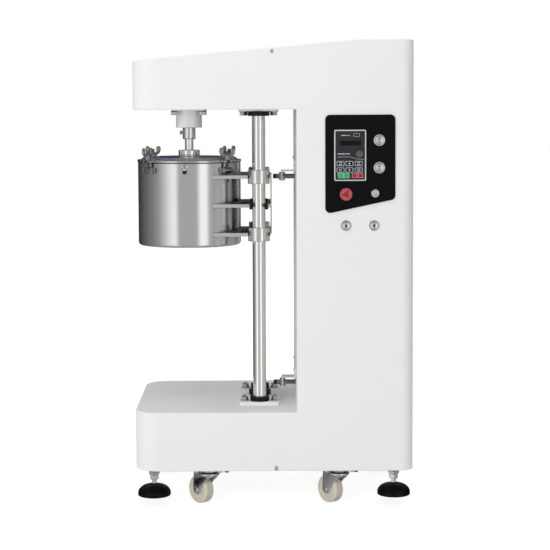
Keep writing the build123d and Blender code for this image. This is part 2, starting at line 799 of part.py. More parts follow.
# Lid: rim with four slotted ears, shallow dome and flat boss
with BuildPart() as jar_lid:
    with BuildSketch(Plane.XZ):
        with BuildLine():
            Polyline(
                (lid_bore_radius, lid_bottom + lid_rise),
                (lid_boss_radius, lid_bottom + lid_rise),
                (lid_dome_radius, lid_bottom),
                (lid_radius, lid_bottom),
                (lid_radius, lid_rim_top),
                (lid_dome_radius, lid_rim_top),
                (lid_boss_radius, lid_top),
                (lid_bore_radius, lid_top),
                close=True,
            )
        make_face()
    revolve(axis=Axis.Z)
    lid_body = jar_lid.part.moved(Location((spindle_x, mid_y, 0)))
with BuildPart() as jar_lid:
    add(lid_body)
    for plane in closure_planes:
        with BuildSketch(plane.offset(-ear_width / 2)):
            with Locations(((lid_dome_radius + closure_radius + ear_reach) / 2, (lid_bottom + lid_rim_top) / 2)):
                Rectangle(closure_radius + ear_reach - lid_dome_radius, lid_rim)
        extrude(amount=ear_width)
        with BuildSketch(plane.offset(-ear_slot / 2)):
            with Locations((closure_radius + ear_reach, (lid_bottom + lid_rim_top) / 2)):
                Rectangle(2 * ear_reach + ear_slot, 2 * lid_rim)
        extrude(amount=ear_slot, mode=Mode.SUBTRACT)
    rim_edges = jar_lid.edges().filter_by(GeomType.CIRCLE)
    fillet(rim_edges.filter_by(lambda edge: abs(edge.radius - lid_radius) < slide_gap), 0.8)
jar_lid.part.label = "jar_lid"
export_step(jar_lid.part, "parts/jar_lid.step")

# Seals: flat gasket under the rim, and the ring round the stirrer shaft
with BuildPart() as lid_seals:
    posts([(spindle_x, mid_y)], jar_top, jar_radius, gasket_thickness)
    posts([(spindle_x, mid_y)], jar_top, lid_dome_radius + 4.0, gasket_thickness, mode=Mode.SUBTRACT)
    posts([(spindle_x, mid_y)], lid_top - seal_height, lid_bore_radius, seal_height)
    posts([(spindle_x, mid_y)], lid_top - seal_height, stirrer_radius + running_gap, seal_height, Mode.SUBTRACT)
lid_seals.part.label = "lid_seals"
export_step(lid_seals.part, "parts/lid_seals.step")

# Gland nut on the lid's boss, with scalloped sides for the hand
with BuildPart() as gland_nut:
    with BuildSketch(Plane.XY.offset(lid_top)):
        with Locations((spindle_x, mid_y)):
            Circle(gland_radius)
            with PolarLocations(gland_radius + 3.0, gland_lobes):
                Circle(6.0, mode=Mode.SUBTRACT)
    extrude(amount=gland_height)
    posts([(spindle_x, mid_y)], lid_top + gland_height, gland_neck_radius, gland_neck_height)
    posts(
        [(spindle_x, mid_y)],
        lid_top,
        stirrer_radius + slide_gap,
        gland_height + gland_neck_height,
        mode=Mode.SUBTRACT,
    )
gland_nut.part.label = "gland_nut"
export_step(gland_nut.part, "parts/gland_nut.step")

# Vent elbow on the jar's front, with its cap
vent_front = mid_y - jar_radius - vent_reach
with BuildPart() as vent_elbow:
    front_posts([(vent_x, vent_z)], vent_front + vent_reach + 0.2, vent_pipe_radius, vent_reach)
    with Locations((vent_x, vent_front, vent_z)):
        Sphere(vent_body_radius)
    posts([(vent_x, vent_front)], vent_z - 9.0, vent_pipe_radius, 9.0)
    posts([(vent_x, vent_front)], vent_z - 9.0 - vent_cap_height, vent_cap_radius, vent_cap_height)
    posts([(spindle_x, mid_y)], vent_z - 20.0, jar_radius + weld_gap, 40.0, mode=Mode.SUBTRACT)
vent_elbow.part.label = "vent_elbow"
export_step(vent_elbow.part, "parts/vent_elbow.step")


def wing_nut(plane, direction):
    """A wing nut on one closure, its wings along the given direction in plan, in degrees from X."""
    base = lid_rim_top + nut_clearance
    axis_point = plane.origin + plane.x_dir * closure_radius
    wing_angle = radians(direction)
    wing_plane = Plane(
        origin=(axis_point.X, axis_point.Y, base),
        x_dir=(cos(wing_angle), sin(wing_angle), 0),
        z_dir=(sin(wing_angle), -cos(wing_angle), 0),
    )
    with BuildPart() as nut:
        posts([(axis_point.X, axis_point.Y)], base, wing_hub_radius, wing_hub_height)
        with BuildSketch(wing_plane.offset(-wing_thickness / 2)):
            for side in (-1, 1):
                with BuildLine():
                    Polyline(
                        (side * stud_radius, wing_base - 3.0),
                        (side * wing_hub_radius, wing_base),
                        (side * wing_span / 2, wing_base + wing_height * 0.45),
                        (side * wing_span / 2, wing_base + wing_height),
                        (side * wing_span / 3, wing_base + wing_height),
                        (side * stud_radius, wing_hub_height - 2.0),
                        close=True,
                    )
                make_face()
        extrude(amount=wing_thickness)
        posts([(axis_point.X, axis_point.Y)], base, stud_radius, 2 * wing_hub_height, mode=Mode.SUBTRACT)
    return nut.part


def swing_bolt_solids(plane, direction):
    """An eye bolt with its pin and wing nut, upright in its lid slot."""
    axis_point = plane.origin + plane.x_dir * closure_radius
    nut = wing_nut(plane, direction)
    with BuildPart() as bolt:
        with BuildSketch(plane.offset(-eye_width / 2)):
            with Locations((closure_radius, pivot_z)):
                Circle(eye_radius)
        extrude(amount=eye_width)
        with BuildSketch(plane.offset(-eye_width / 2 - slide_gap - lug_thickness)):
            with Locations((closure_radius, pivot_z)):
                Circle(pin_radius)
        extrude(amount=eye_width + 2 * slide_gap + 2 * lug_thickness)
        posts([(axis_point.X, axis_point.Y)], pivot_z, stud_radius, stud_top - pivot_z)
    return bolt.part, nut


for index, (plane, direction) in enumerate(zip(closure_planes, wing_directions), start=1):
    bolt_solid, nut_solid = swing_bolt_solids(plane, direction)
    swing_bolt = Compound(children=[bolt_solid.solid(), nut_solid.solid()])
    swing_bolt.label = f"swing_bolt_{index}"
    export_step(swing_bolt, f"parts/swing_bolt_{index}.step")

# Stirrer shaft with cross holes, and its four arms, which lie along X and Y in turn
arm_directions = ((0, 90, 0), (90, 0, 0))
with BuildPart() as stirrer_shaft:
    posts([(spindle_x, mid_y)], stirrer_bottom, stirrer_radius, stirrer_top - stirrer_bottom)
    for index, level in enumerate(arm_levels):
        with Locations((spindle_x, mid_y, level)):
            Cylinder(
                arm_radius, 3 * stirrer_radius, rotation=arm_directions[index % 2], mode=Mode.SUBTRACT
            )
stirrer_shaft.part.label = "stirrer_shaft"
export_step(stirrer_shaft.part, "parts/stirrer_shaft.step")

with BuildPart() as stirrer_arms:
    for index, level in enumerate(arm_levels):
        with Locations((spindle_x, mid_y, level)):
            Cylinder(arm_radius, arm_length, rotation=arm_directions[index % 2])
stirrer_arms.part.label = "stirrer_arms"
export_step(stirrer_arms.part, "parts/stirrer_arms.step")

# Control panel
with BuildPart() as control_panel:
    with BuildSketch(facing_front(front_y)) as panel_sketch:
        with BuildLine():
            Polyline(*panel_outline(0), close=True)
        make_face()
        fillet(panel_sketch.vertices(), panel_corner)
    extrude(amount=panel_thickness)
    fillet(control_panel.faces().sort_by(Axis.Y)[0].edges(), 0.8)
    front_posts(panel_button_points, front_y + wall, barrel_radius, 3 * wall, mode=Mode.SUBTRACT)
    front_posts([(stop_x, stop_z)], front_y + wall, barrel_radius, 3 * wall, mode=Mode.SUBTRACT)
    front_posts([(mode_x, mode_z)], front_y + wall, stem_radius + running_gap, 3 * wall, mode=Mode.SUBTRACT)
    front_posts(
        [(speed_knob_x, speed_knob_z)], front_y + wall, stem_radius + running_gap, 3 * wall, mode=Mode.SUBTRACT
    )
control_panel.part.label = "control_panel"
export_step(control_panel.part, "parts/control_panel.step")

keypad_center = (keypad_left + keypad_width / 2, keypad_bottom + keypad_height / 2)
with BuildPart() as keypad_frame:
    with BuildSketch(facing_front(panel_front)):
        with Locations(keypad_center):
            RectangleRounded(keypad_width, keypad_height, keypad_corner)
            RectangleRounded(
                keypad_width - 2 * keypad_rim,
                keypad_height - 2 * keypad_rim,
                keypad_corner - keypad_rim,
                mode=Mode.SUBTRACT,
            )
    extrude(amount=keypad_rim_depth)
    fillet(keypad_frame.faces().sort_by(Axis.Y)[0].edges(), 0.7)
keypad_frame.part.label = "keypad_frame"
export_step(keypad_frame.part, "parts/keypad_frame.step")

with BuildPart() as keypad_face:
    with BuildSketch(facing_front(panel_front)):
        with Locations(keypad_center):
            RectangleRounded(
                keypad_width - 2 * keypad_rim, keypad_height - 2 * keypad_rim, keypad_corner - keypad_rim
            )
    extrude(amount=face_depth)
    with BuildSketch(facing_front(face_front)):
        with Locations(*[(x, z) for x in key_columns for z in key_rows]):
            RectangleRounded(film_key_width, film_key_height, 1.5)
    extrude(amount=film_key_depth)
    with BuildSketch(facing_front(face_front)):
        with Locations((window_x, window_z)):
            Rectangle(window_width, window_height)
    extrude(amount=-window_depth, mode=Mode.SUBTRACT)
    with BuildSketch(facing_front(face_front)):
        with Locations((start_key_x, hard_key_z), (stop_key_x, hard_key_z)):
            RectangleRounded(hard_key_width + 2 * slide_gap, hard_key_height + 2 * slide_gap, 2.0)
    extrude(amount=-(hard_key_depth - hard_key_stand + hard_key_travel + slide_gap), mode=Mode.SUBTRACT)
    front_posts(
        [(speed_knob_x, speed_knob_z)], panel_front, stem_radius + running_gap, 2 * face_depth, mode=Mode.SUBTRACT
    )
keypad_face.part.label = "keypad_face"
export_step(keypad_face.part, "parts/keypad_face.step")

for name, key_x in (("start_key", start_key_x), ("stop_key", stop_key_x)):
    with BuildPart() as hard_key:
        with BuildSketch(facing_front(face_front + hard_key_depth - hard_key_stand)):
            with Locations((key_x, hard_key_z)):
                RectangleRounded(hard_key_width, hard_key_height, 2.0)
        extrude(amount=hard_key_depth)
        fillet(hard_key.faces().sort_by(Axis.Y)[0].edges(), 0.6)
    hard_key.part.label = name
    export_step(hard_key.part, f"parts/{name}.step")

# Bezels of the metal buttons and the collar of the emergency stop
with BuildPart() as button_bezels:
    front_posts(panel_button_points, panel_front, bezel_radius, bezel_height)
    front_posts(panel_button_points, panel_front + barrel_length, barrel_radius, barrel_length)
    front_posts(dome_button_points, front_y, small_bezel_radius, bezel_height)
    front_posts(dome_button_points, front_y + barrel_length, barrel_radius, barrel_length)
    for points, face in ((panel_button_points, panel_front), (dome_button_points, front_y)):
        front_posts(points, face + barrel_length, bezel_bore, barrel_length + bezel_height, mode=Mode.SUBTRACT)
    front_posts([(stop_x, stop_z)], panel_front, stop_collar_radius, bezel_height)
    front_posts([(stop_x, stop_z)], panel_front + barrel_length, barrel_radius, barrel_length)
    front_posts(
        [(stop_x, stop_z)],
        panel_front + barrel_length,
        stop_stem_radius + running_gap,
        barrel_length + bezel_height,
        mode=Mode.SUBTRACT,
    )
button_bezels.part.label = "button_bezels"
export_step(button_bezels.part, "parts/button_bezels.step")

push_buttons = (
    ("power_button", metal_button_x, power_button_z, panel_front),
    ("light_button", metal_button_x, light_button_z, panel_front),
    ("raise_button", raise_button_x, dome_button_z, front_y),
    ("lower_button", lower_button_x, dome_button_z, front_y),
)
for name, button_x, button_z, face in push_buttons:
    button_front = face - bezel_height - button_stand
    with BuildPart() as push_button:
        front_posts([(button_x, button_z)], button_front + button_length, bezel_bore - slide_gap, button_length)
        fillet(push_button.faces().sort_by(Axis.Y)[0].edges(), 1.4)
    push_button.part.label = name
    export_step(push_button.part, f"parts/{name}.step")

# Emergency stop: mushroom head on a stem
with BuildPart() as emergency_stop:
    stop_back = panel_front - bezel_height - stop_lift
    front_posts([(stop_x, stop_z)], stop_back, stop_radius, stop_height)
    fillet(emergency_stop.faces().sort_by(Axis.Y)[0].edges(), 4.5)
    front_posts([(stop_x, stop_z)], stop_back + barrel_length, stop_stem_radius, barrel_length)
emergency_stop.part.label = "emergency_stop"
export_step(emergency_stop.part, "parts/emergency_stop.step")

turned_knobs = (
    ("mode_switch", mode_x, mode_z, panel_front, mode_radius, mode_height),
    ("speed_knob", speed_knob_x, speed_knob_z, face_front, speed_knob_radius, speed_knob_height),
)
for name, knob_x, knob_z, face, radius, height in turned_knobs:
    with BuildPart() as knob:
        front_posts([(knob_x, knob_z)], face - knob_gap, radius, height)
        fillet(knob.faces().sort_by(Axis.Y)[0].edges(), 1.2)
        with Locations((knob_x, face - knob_gap - height, knob_z + radius / 2)):
            Box(1.2, 1.2, radius * 0.7, mode=Mode.SUBTRACT)
        front_posts([(knob_x, knob_z)], front_y + stem_length, stem_radius, front_y + stem_length - face + knob_gap)
    knob.part.label = name
    export_step(knob.part, f"parts/{name}.step")

# Limit sensors through the column's wall, each with two nuts at its bracket
sensor_left = tie_outer_x + sensor_gap
sensor_nut_gap = bracket_thickness
with BuildPart() as limit_sensors:
    for level in sensor_levels:
        side_posts([(mid_y, level)], sensor_left, sensor_radius, column_x + 4 * wall - sensor_left)
        for nut_x in (bracket_x - sensor_nut_length, bracket_x + sensor_nut_gap):
            with BuildSketch(facing_right(nut_x)):
                with Locations((mid_y, level)):
                    RegularPolygon(sensor_nut_flats / 2, 6, major_radius=False)
            extrude(amount=sensor_nut_length)
limit_sensors.part.label = "limit_sensors"
export_step(limit_sensors.part, "parts/limit_sensors.step")

with BuildPart() as sensor_brackets:
    for level in sensor_levels:
        top_z = level + bracket_rise
        with BuildSketch(facing_front(mid_y + bracket_width / 2)):
            with BuildLine():
                Polyline(
                    (bracket_x, level - bracket_drop),
                    (bracket_x + bracket_thickness, level - bracket_drop),
                    (bracket_x + bracket_thickness, top_z - bracket_thickness),
                    (column_x, top_z - bracket_thickness),
                    (column_x, top_z + bracket_foot),
                    (column_x - bracket_thickness, top_z + bracket_foot),
                    (column_x - bracket_thickness, top_z),
                    (bracket_x, top_z),
                    close=True,
                )
            make_face()
        extrude(amount=bracket_width)
    side_posts([(mid_y, z) for z in sensor_levels], bracket_x, sensor_radius, bracket_thickness, mode=Mode.SUBTRACT)
sensor_brackets.part.label = "sensor_brackets"
export_step(sensor_brackets.part, "parts/sensor_brackets.step")

# Caster top plates, each with the fixed half of its raceway and a king pin
raceway_bottom = base_bottom - caster_plate_thickness - raceway_height
fork_top = raceway_bottom - slide_gap
with BuildPart() as caster_plates:
    with BuildSketch(Plane.XY.offset(base_bottom - caster_plate_thickness)):
        with Locations(*caster_points):
            RectangleRounded(caster_plate_length, caster_plate_width, 5.0)
    extrude(amount=caster_plate_thickness)
    posts(caster_points, raceway_bottom, raceway_radius, raceway_height)
    posts(caster_points, base_bottom - king_pin_length, king_pin_radius, king_pin_length)
    posts(
        caster_points,
        base_bottom - king_pin_length - king_pin_head,
        king_pin_radius + king_pin_head,
        king_pin_head,
    )
caster_plates.part.label = "caster_plates"
export_step(caster_plates.part, "parts/caster_plates.step")


def wheel_plane(point, turn):
    """The upright mid plane of a caster wheel: its x runs from the swivel axis to the axle."""
    trail = (cos(radians(turn)), sin(radians(turn)), 0)
    across = (sin(radians(turn)), -cos(radians(turn)), 0)
    return Plane(origin=(point[0], point[1], 0), x_dir=trail, z_dir=across)


fork_inner = wheel_width / 2 + fork_gap
for index, (point, turn) in enumerate(zip(caster_points, caster_turns), start=1):
    plane = wheel_plane(point, turn)
    with BuildPart() as caster_fork:
        with BuildSketch(plane.offset(-fork_inner - fork_thickness)):
            with BuildLine():
                Polyline(
                    (-fork_top_radius + 4.0, fork_top),
                    (fork_top_radius, fork_top),
                    (wheel_trail + fork_leg_width / 2, wheel_radius),
                    (wheel_trail + fork_leg_width / 4, wheel_radius - fork_leg_width / 2),
                    (wheel_trail - fork_leg_width / 2, wheel_radius - fork_leg_width / 4),
                    (-fork_top_radius + 4.0, fork_top - 10.0),
                    close=True,
                )
            make_face()
        extrude(amount=2 * (fork_inner + fork_thickness))
        with BuildSketch(plane.offset(-fork_inner)):
            with BuildLine():
                Polyline(
                    (-2 * fork_top_radius, 0),
                    (2 * fork_top_radius + wheel_trail, 0),
                    (2 * fork_top_radius + wheel_trail, fork_top - fork_thickness),
                    (-2 * fork_top_radius, fork_top - fork_thickness),
                    close=True,
                )
            make_face()
        extrude(amount=2 * fork_inner, mode=Mode.SUBTRACT)
        posts([point], fork_top - fork_thickness, fork_top_radius, fork_thickness)
        posts([point], fork_top - 2 * fork_thickness, king_pin_radius + running_gap, 3 * fork_thickness, Mode.SUBTRACT)
        with BuildSketch(plane.offset(-fork_inner - fork_thickness - 1.5)):
            with Locations((wheel_trail, wheel_radius)):
                Circle(axle_radius)
        extrude(amount=2 * (fork_inner + fork_thickness + 1.5))
    caster_fork.part.label = f"caster_fork_{index}"
    export_step(caster_fork.part, f"parts/caster_fork_{index}.step")
    with BuildPart() as caster_wheel:
        with BuildSketch(plane.offset(-wheel_width / 2)):
            with Locations((wheel_trail, wheel_radius)):
                Circle(wheel_radius)
        extrude(amount=wheel_width)
        fillet(caster_wheel.edges().filter_by(GeomType.CIRCLE), 3.0)
        with BuildSketch(plane.offset(-wheel_width / 2)):
            with Locations((wheel_trail, wheel_radius)):
                Circle(axle_radius + running_gap)
        extrude(amount=wheel_width, mode=Mode.SUBTRACT)
    caster_wheel.part.label = f"caster_wheel_{index}"
    export_step(caster_wheel.part, f"parts/caster_wheel_{index}.step")

# Levelling feet: domed disc on a threaded neck
for index, (foot_px, foot_py) in enumerate(foot_points, start=1):
    with BuildPart() as level_foot:
        with BuildSketch(Plane.XZ):
            with BuildLine():
                neck_bottom = foot_bottom + foot_disc_height + foot_dome_height
                rim_top = (foot_disc_radius, foot_bottom + foot_disc_height)
                dome_top = (foot_neck_radius + 6.0, neck_bottom)
                Polyline(
                    (0, neck_bottom + 4.0),
                    (0, foot_bottom),
                    (foot_disc_radius, foot_bottom),
                    rim_top,
                )
                ThreePointArc(rim_top, (foot_disc_radius * 0.72, foot_bottom + foot_disc_height + 11.0), dome_top)
                Polyline(dome_top, (foot_neck_radius + 6.0, neck_bottom + 4.0), (0, neck_bottom + 4.0))
            make_face()
        revolve(axis=Axis.Z)
        posts([(0, 0)], neck_bottom, foot_neck_radius, base_bottom + 40.0 - neck_bottom)
    foot = level_foot.part.moved(Location((foot_px, foot_py, 0)))
    foot.label = f"level_foot_{index}"
    export_step(foot, f"parts/level_foot_{index}.step")
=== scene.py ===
"""Looks of the stirred ball mill: finer pieces, finishes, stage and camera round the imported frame.

Shapes are worked out in millimetres in the machine's own frame and put into the meshes in metres.
"""
import json
import math

import bmesh
import bpy
from mathutils import Matrix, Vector
import numpy as np


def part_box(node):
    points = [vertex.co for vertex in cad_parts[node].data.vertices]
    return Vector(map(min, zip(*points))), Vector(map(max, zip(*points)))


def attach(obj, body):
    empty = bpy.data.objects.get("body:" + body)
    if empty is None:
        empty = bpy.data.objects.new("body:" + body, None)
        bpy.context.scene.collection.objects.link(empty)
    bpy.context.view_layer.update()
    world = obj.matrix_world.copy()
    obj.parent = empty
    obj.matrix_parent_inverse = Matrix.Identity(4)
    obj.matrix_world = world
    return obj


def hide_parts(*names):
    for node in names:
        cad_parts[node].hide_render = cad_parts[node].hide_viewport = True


bl_info = {
    "name": "Stirred ball mill",
    "version": (1, 0, 0),
    "blender": (4, 5, 0),
    "location": "3D View > Sidebar > Mill",
    "description": "Dresses the stirred ball mill's frame with its finer pieces and finishes",
    "category": "Object",
}

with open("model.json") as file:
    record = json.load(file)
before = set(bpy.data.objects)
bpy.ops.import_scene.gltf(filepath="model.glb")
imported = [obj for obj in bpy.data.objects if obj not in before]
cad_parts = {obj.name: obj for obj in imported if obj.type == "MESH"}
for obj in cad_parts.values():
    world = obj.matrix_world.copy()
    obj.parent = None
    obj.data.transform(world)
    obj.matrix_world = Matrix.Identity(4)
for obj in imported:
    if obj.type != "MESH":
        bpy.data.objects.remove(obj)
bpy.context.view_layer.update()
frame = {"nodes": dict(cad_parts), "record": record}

MM = 0.001
FULL_TURN = 2 * math.pi
QUARTER = math.pi / 2


class Extent:
    """A node's box in millimetres: its two corners, its centre and half its width."""

    def __init__(self, node):
        self.low, self.high = (np.array(corner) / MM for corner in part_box(node))
        self.centre = (self.low + self.high) / 2
        self.radius = (self.high[0] - self.low[0]) / 2


# Places read from the frame
SHELL = Extent("cabinet_shell")
FRONT_Y = SHELL.low[1]
BASE_BOTTOM = SHELL.low[2]
SPINDLE = Extent("stirrer_shaft").centre
LIFT = Extent("lead_screw").centre
PILLARS = Extent("guide_pillars")
PILLAR_YS = (PILLARS.low[1] + PILLARS.radius, PILLARS.high[1] - PILLARS.radius)
BASE_TOP, HEAD_BOTTOM = PILLARS.low[2], PILLARS.high[2]
FOOT_PLATE_TOP = Extent("pillar_plates").low[2] + 8.0
HEAD_PLATE_BOTTOM = HEAD_BOTTOM - 4.0
JAR = Extent("jar")
LID = Extent("jar_lid")
FACE = Extent("keypad_face")
PANEL_FRONT = Extent("control_panel").low[1]
CORNERS = [(sx, sy) for sx in (-1, 1) for sy in (-1, 1)]

# The lid's closures: eye bolts between pairs of lugs, each with a wing nut
CLOSURE_RADIUS = 129.0
CLOSURE_ANGLES = [math.radians(45.0 + 90.0 * i) for i in range(4)]
WING_DIRECTIONS = [math.radians(a) for a in (35.0, 0.0, 52.0, 0.0)]
PIVOT = JAR.high[2] - 16.0
EYE_HALF, LUG_GAP, LUG_THICKNESS = 6.7, 0.3, 6.0
PIN_HALF = EYE_HALF + LUG_GAP + LUG_THICKNESS

# The carrier's plates: how far below the jar's top each one is, and the radius of its pillar bays
TOP_DROP, MIDDLE_DROP, LOWER_DROP = 31.0, 97.0, 163.0
WIDE_BAY, CLOSE_BAY = 24.95, 21.8
BAY_POINTS = 40

# Bolts of the pillar plates and of the housing's flange, clamp rings and collars
PLATE_BOLT_REACH, FLANGE_BOLT_REACH = 35.0, 32.5
FLANGE_DROP = 3.0
BOLT_FLATS, BOLT_HEAD, BOLT_SHANK = 15.5, 8.0, 4.0
RING_HEIGHT, COLLAR_HEIGHT = 11.0, 32.0

# Casters: the turn of each fork, its wheel's radius and the distance from swivel to axle
CASTER_TURNS = (133.0, 131.0, 12.0, 160.0)
WHEEL_RADIUS, WHEEL_TRAIL = 31.5, 28.0


def metres(name, description, default):
    """A length property."""
    return bpy.props.FloatProperty(name=name, description=description, default=default, unit="LENGTH")


def tint(name, description, *default):
    """A colour property."""
    return bpy.props.FloatVectorProperty(name=name, description=description, default=default, subtype="COLOR")


def watts(name, description, default):
    """A lamp's power property."""
    return bpy.props.FloatProperty(name=name, description=description, default=default, unit="POWER")


def plain(name, description, default, subtype="NONE"):
    """A number property, or an angle."""
    return bpy.props.FloatProperty(name=name, description=description, default=default, subtype=subtype)


class MillSizes(bpy.types.PropertyGroup):
    """Sizes of the finer pieces."""

    jar_wall: metres("Jar wall", "Thickness of the jar's wall", 0.003)
    bead: metres("Weld bead", "Radius of the weld beads on the jar", 0.0016)
    screw_pitch: metres("Lead screw pitch", "Rise of the lead screw in one turn", 0.01)
    screw_depth: metres("Lead screw depth", "Depth of the lead screw's thread", 0.0022)
    bolt_pitch: metres("Bolt pitch", "Rise of a bolt's thread in one turn", 0.0015)
    bolt_depth: metres("Bolt thread depth", "Depth of a bolt's thread", 0.0006)
    gland_notch: metres("Gland notch", "Depth of the gland nut's spanner notches", 0.0026)
    label_height: metres("Print height", "Height of printed marks over the keypad", 0.00015)


class MillColours(bpy.types.PropertyGroup):
    """Colours of the finishes."""

    paint: tint("Paint", "White sprayed paint", 0.84, 0.84, 0.825)
    steel: tint("Steel", "Ground and turned steel", 0.66, 0.66, 0.65)
    jar_steel: tint("Jar steel", "Brushed steel of the jar", 0.62, 0.62, 0.61)
    zinc: tint("Zinc", "Zinc plate of casters and bolts", 0.68, 0.7, 0.7)
    black: tint("Black", "Black panel, rings and feet", 0.004, 0.004, 0.005)
    keypad: tint("Keypad", "Dark grey keypad", 0.024, 0.025, 0.028)
    green: tint("Start key", "Green start key", 0.05, 0.33, 0.13)
    red: tint("Stop red", "Red of the stop key and the emergency stop", 0.27, 0.011, 0.016)
    nylon: tint("Nylon", "Cream nylon of the caster wheels", 0.68, 0.64, 0.52)
    print_grey: tint("Print", "Printed marks on the keypad", 0.62, 0.63, 0.65)
    floor: tint("Floor", "Pale floor", 0.9, 0.9, 0.9)


class MillStage(bpy.types.PropertyGroup):
    """Light and camera."""

    key_power: watts("Key light", "Power of the large front light", 79.0)
    top_power: watts("Top light", "Power of the light over the machine", 23.0)
    side_power: watts("Side light", "Power of the light on the side of the jar", 11.0)
    back_power: watts("Back light", "Power of the light behind the machine", 30.0)
    ambient: plain("Ambient", "Strength of the even light from all round", 0.45)
    focal_length: plain("Focal length", "Focal length on a 36 mm sensor, in millimetres", 104.55)
    camera_place: bpy.props.FloatVectorProperty(
        name="Camera place", description="Where the camera stands", default=(-0.0155, -3.7606, 0.9064),
        subtype="TRANSLATION",
    )
    camera_pitch: plain("Camera pitch", "How far the camera looks down", math.radians(4.4), "ANGLE")
    camera_roll: plain("Camera roll", "Turn of the camera about its view", math.radians(-0.249), "ANGLE")


# Finishes

FINISHES = {}
WHITE = (1.0, 1.0, 1.0, 1.0)
ROUND_Z = (3.0, 3.0, 1400.0)
EVEN = (500.0, 500.0, 500.0)
ALONG_X = (12.0, 900.0, 900.0)


class Reading:
    """A value on its way through a material's nodes. Python operators on it add Math nodes."""

    def __init__(self, tree, socket):
        self.tree = tree
        self.socket = socket

    def joined(self, operation, *others):
        """The value and others put through one Math node."""
        return self.tree.read("ShaderNodeMath", dict(enumerate((self,) + others)), operation=operation)

    def held(self):
        """The value kept between 0 and 1."""
        return self.joined("MAXIMUM", 0.0).joined("MINIMUM", 1.0)

    def __add__(self, other):
        return self.joined("ADD", other)

    def __sub__(self, other):
        return self.joined("SUBTRACT", other)

    def __mul__(self, other):
        return self.joined("MULTIPLY", other)


class Tree:
    """The nodes of a material or world. One method adds any node from its type, sockets and settings."""

    def __init__(self, owner):
        self.owner = owner
        owner.use_nodes = True
        self.nodes = owner.node_tree.nodes
        self.links = owner.node_tree.links
        self.nodes.clear()

    def node(self, kind, sockets=None, **settings):
        made = self.nodes.new(kind)
        for name, value in settings.items():
            setattr(made, name, value)
        for key, value in (sockets or {}).items():
            if isinstance(value, Reading):
                self.links.new(value.socket, made.inputs[key])
            else:
                made.inputs[key].default_value = value
        return made

    def read(self, kind, sockets=None, output=0, **settings):
        """The output of a new node."""
        return Reading(self, self.node(kind, sockets, **settings).outputs[output])

    def place(self):
        """The object's own coordinates."""
        return self.read("ShaderNodeTexCoord", output="Object")

    def noise(self, stretch, detail):
        """Noise from 0 to 1; stretch is its cells per metre, one number or one for each own axis."""
        stretch = tuple(np.broadcast_to(stretch, 3).tolist())
        mapped = self.read("ShaderNodeMapping", {"Vector": self.place(), "Scale": stretch})
        return self.read("ShaderNodeTexNoise", {"Vector": mapped, "Scale": 1.0, "Detail": detail})

    def blend(self, factor, *colours):
        """Two colours mixed by a factor."""
        first, second = (c if isinstance(c, Reading) else (*c, 1.0) for c in colours)
        return self.read("ShaderNodeMix", {0: factor, 6: first, 7: second}, 2, data_type="RGBA")

    def finish(self, surface, kind="Material"):
        """The surface joined to the output; gives back the material or world."""
        self.node(f"ShaderNodeOutput{kind}", {"Surface": surface})
        return self.owner

    def surface(self, colour, roughness, relief, depth=0.00001, metallic=0.0, coat=0.0, level=0.5):
        """The finished surface: a Principled shader, its relief through a Bump node."""
        bump = self.read("ShaderNodeBump", {"Strength": 1.0, "Distance": depth, "Height": relief})
        return self.finish(self.read("ShaderNodeBsdfPrincipled", {
            "Base Color": colour, "Roughness": roughness, "Metallic": metallic, "Coat Weight": coat,
            "Specular IOR Level": level, "Normal": bump,
        }))

    def seen(self):
        """1 for rays from the camera, from a mirror or through glass, else 0."""
        path = self.node("ShaderNodeLightPath")
        camera, mirror, through = (
            Reading(self, path.outputs[f"Is {ray} Ray"]) for ray in ("Camera", "Glossy", "Transmission")
        )
        return (camera + mirror + through).joined("MINIMUM", 1.0)


def material_tree(name):
    return Tree(bpy.data.materials.new(name))


def shade(colour, factor):
    """A colour made darker or lighter by one factor."""
    return tuple(min(1.0, part * factor) for part in colour)


def sprayed(name, colour, roughness, level=0.2, coat=0.0):
    """Sprayed paint: faint clouds of tone, an orange-peel relief and a gloss that changes a little.
    level is how much the bare paint mirrors; coat puts a clear gloss over it."""
    tree = material_tree(name)
    clouds = tree.noise((5.0, 5.0, 3.0), 3.0)
    peel = tree.noise(650.0, 1.0)
    handled = tree.noise((28.0, 28.0, 14.0), 4.0)
    colour = tree.blend(clouds, shade(colour, 0.985), shade(colour, 1.012))
    gloss = handled * 0.1 + (roughness - 0.05)
    return tree.surface(colour, gloss, peel, 0.000012, coat=coat, level=level)


def machined(name, colour, roughness, stretch, depth=0.000008, wear=0.10):
    """Bare metal: fine tool or grinding marks along one direction, and broad smears of changing gloss."""
    tree = material_tree(name)
    marks = tree.noise(stretch, 3.0)
    smears = tree.noise(22.0, 3.0)
    worn = tree.blend(marks * 0.6 + smears * 0.4, shade(colour, 1.0 - wear), shade(colour, 1.0 + wear * 0.6))
    gloss = marks * 0.05 + (roughness - 0.04) + smears * 0.05
    return tree.surface(worn, gloss, marks, depth, 1.0)


def plated(name, colour, roughness):
    """Zinc plate: small spangles of tone and gloss without a direction."""
    tree = material_tree(name)
    spangle = tree.noise(260.0, 4.0)
    stain = tree.noise(45.0, 3.0)
    colour = tree.blend(spangle * 0.5 + stain * 0.5, shade(colour, 0.82), shade(colour, 1.1))
    return tree.surface(colour, spangle * 0.12 + (roughness - 0.06), spangle, metallic=1.0)


def moulded(name, colour, roughness, level=0.5, grain=900.0):
    """Moulded plastic or rubber: a fine even grain, and a tone that drifts slowly."""
    tree = material_tree(name)
    pores = tree.noise(grain, 2.0)
    drift = tree.noise(18.0, 3.0)
    colour = tree.blend(drift, shade(colour, 0.92), shade(colour, 1.08))
    return tree.surface(colour, pores * 0.1 + (roughness - 0.05), pores, level=level)


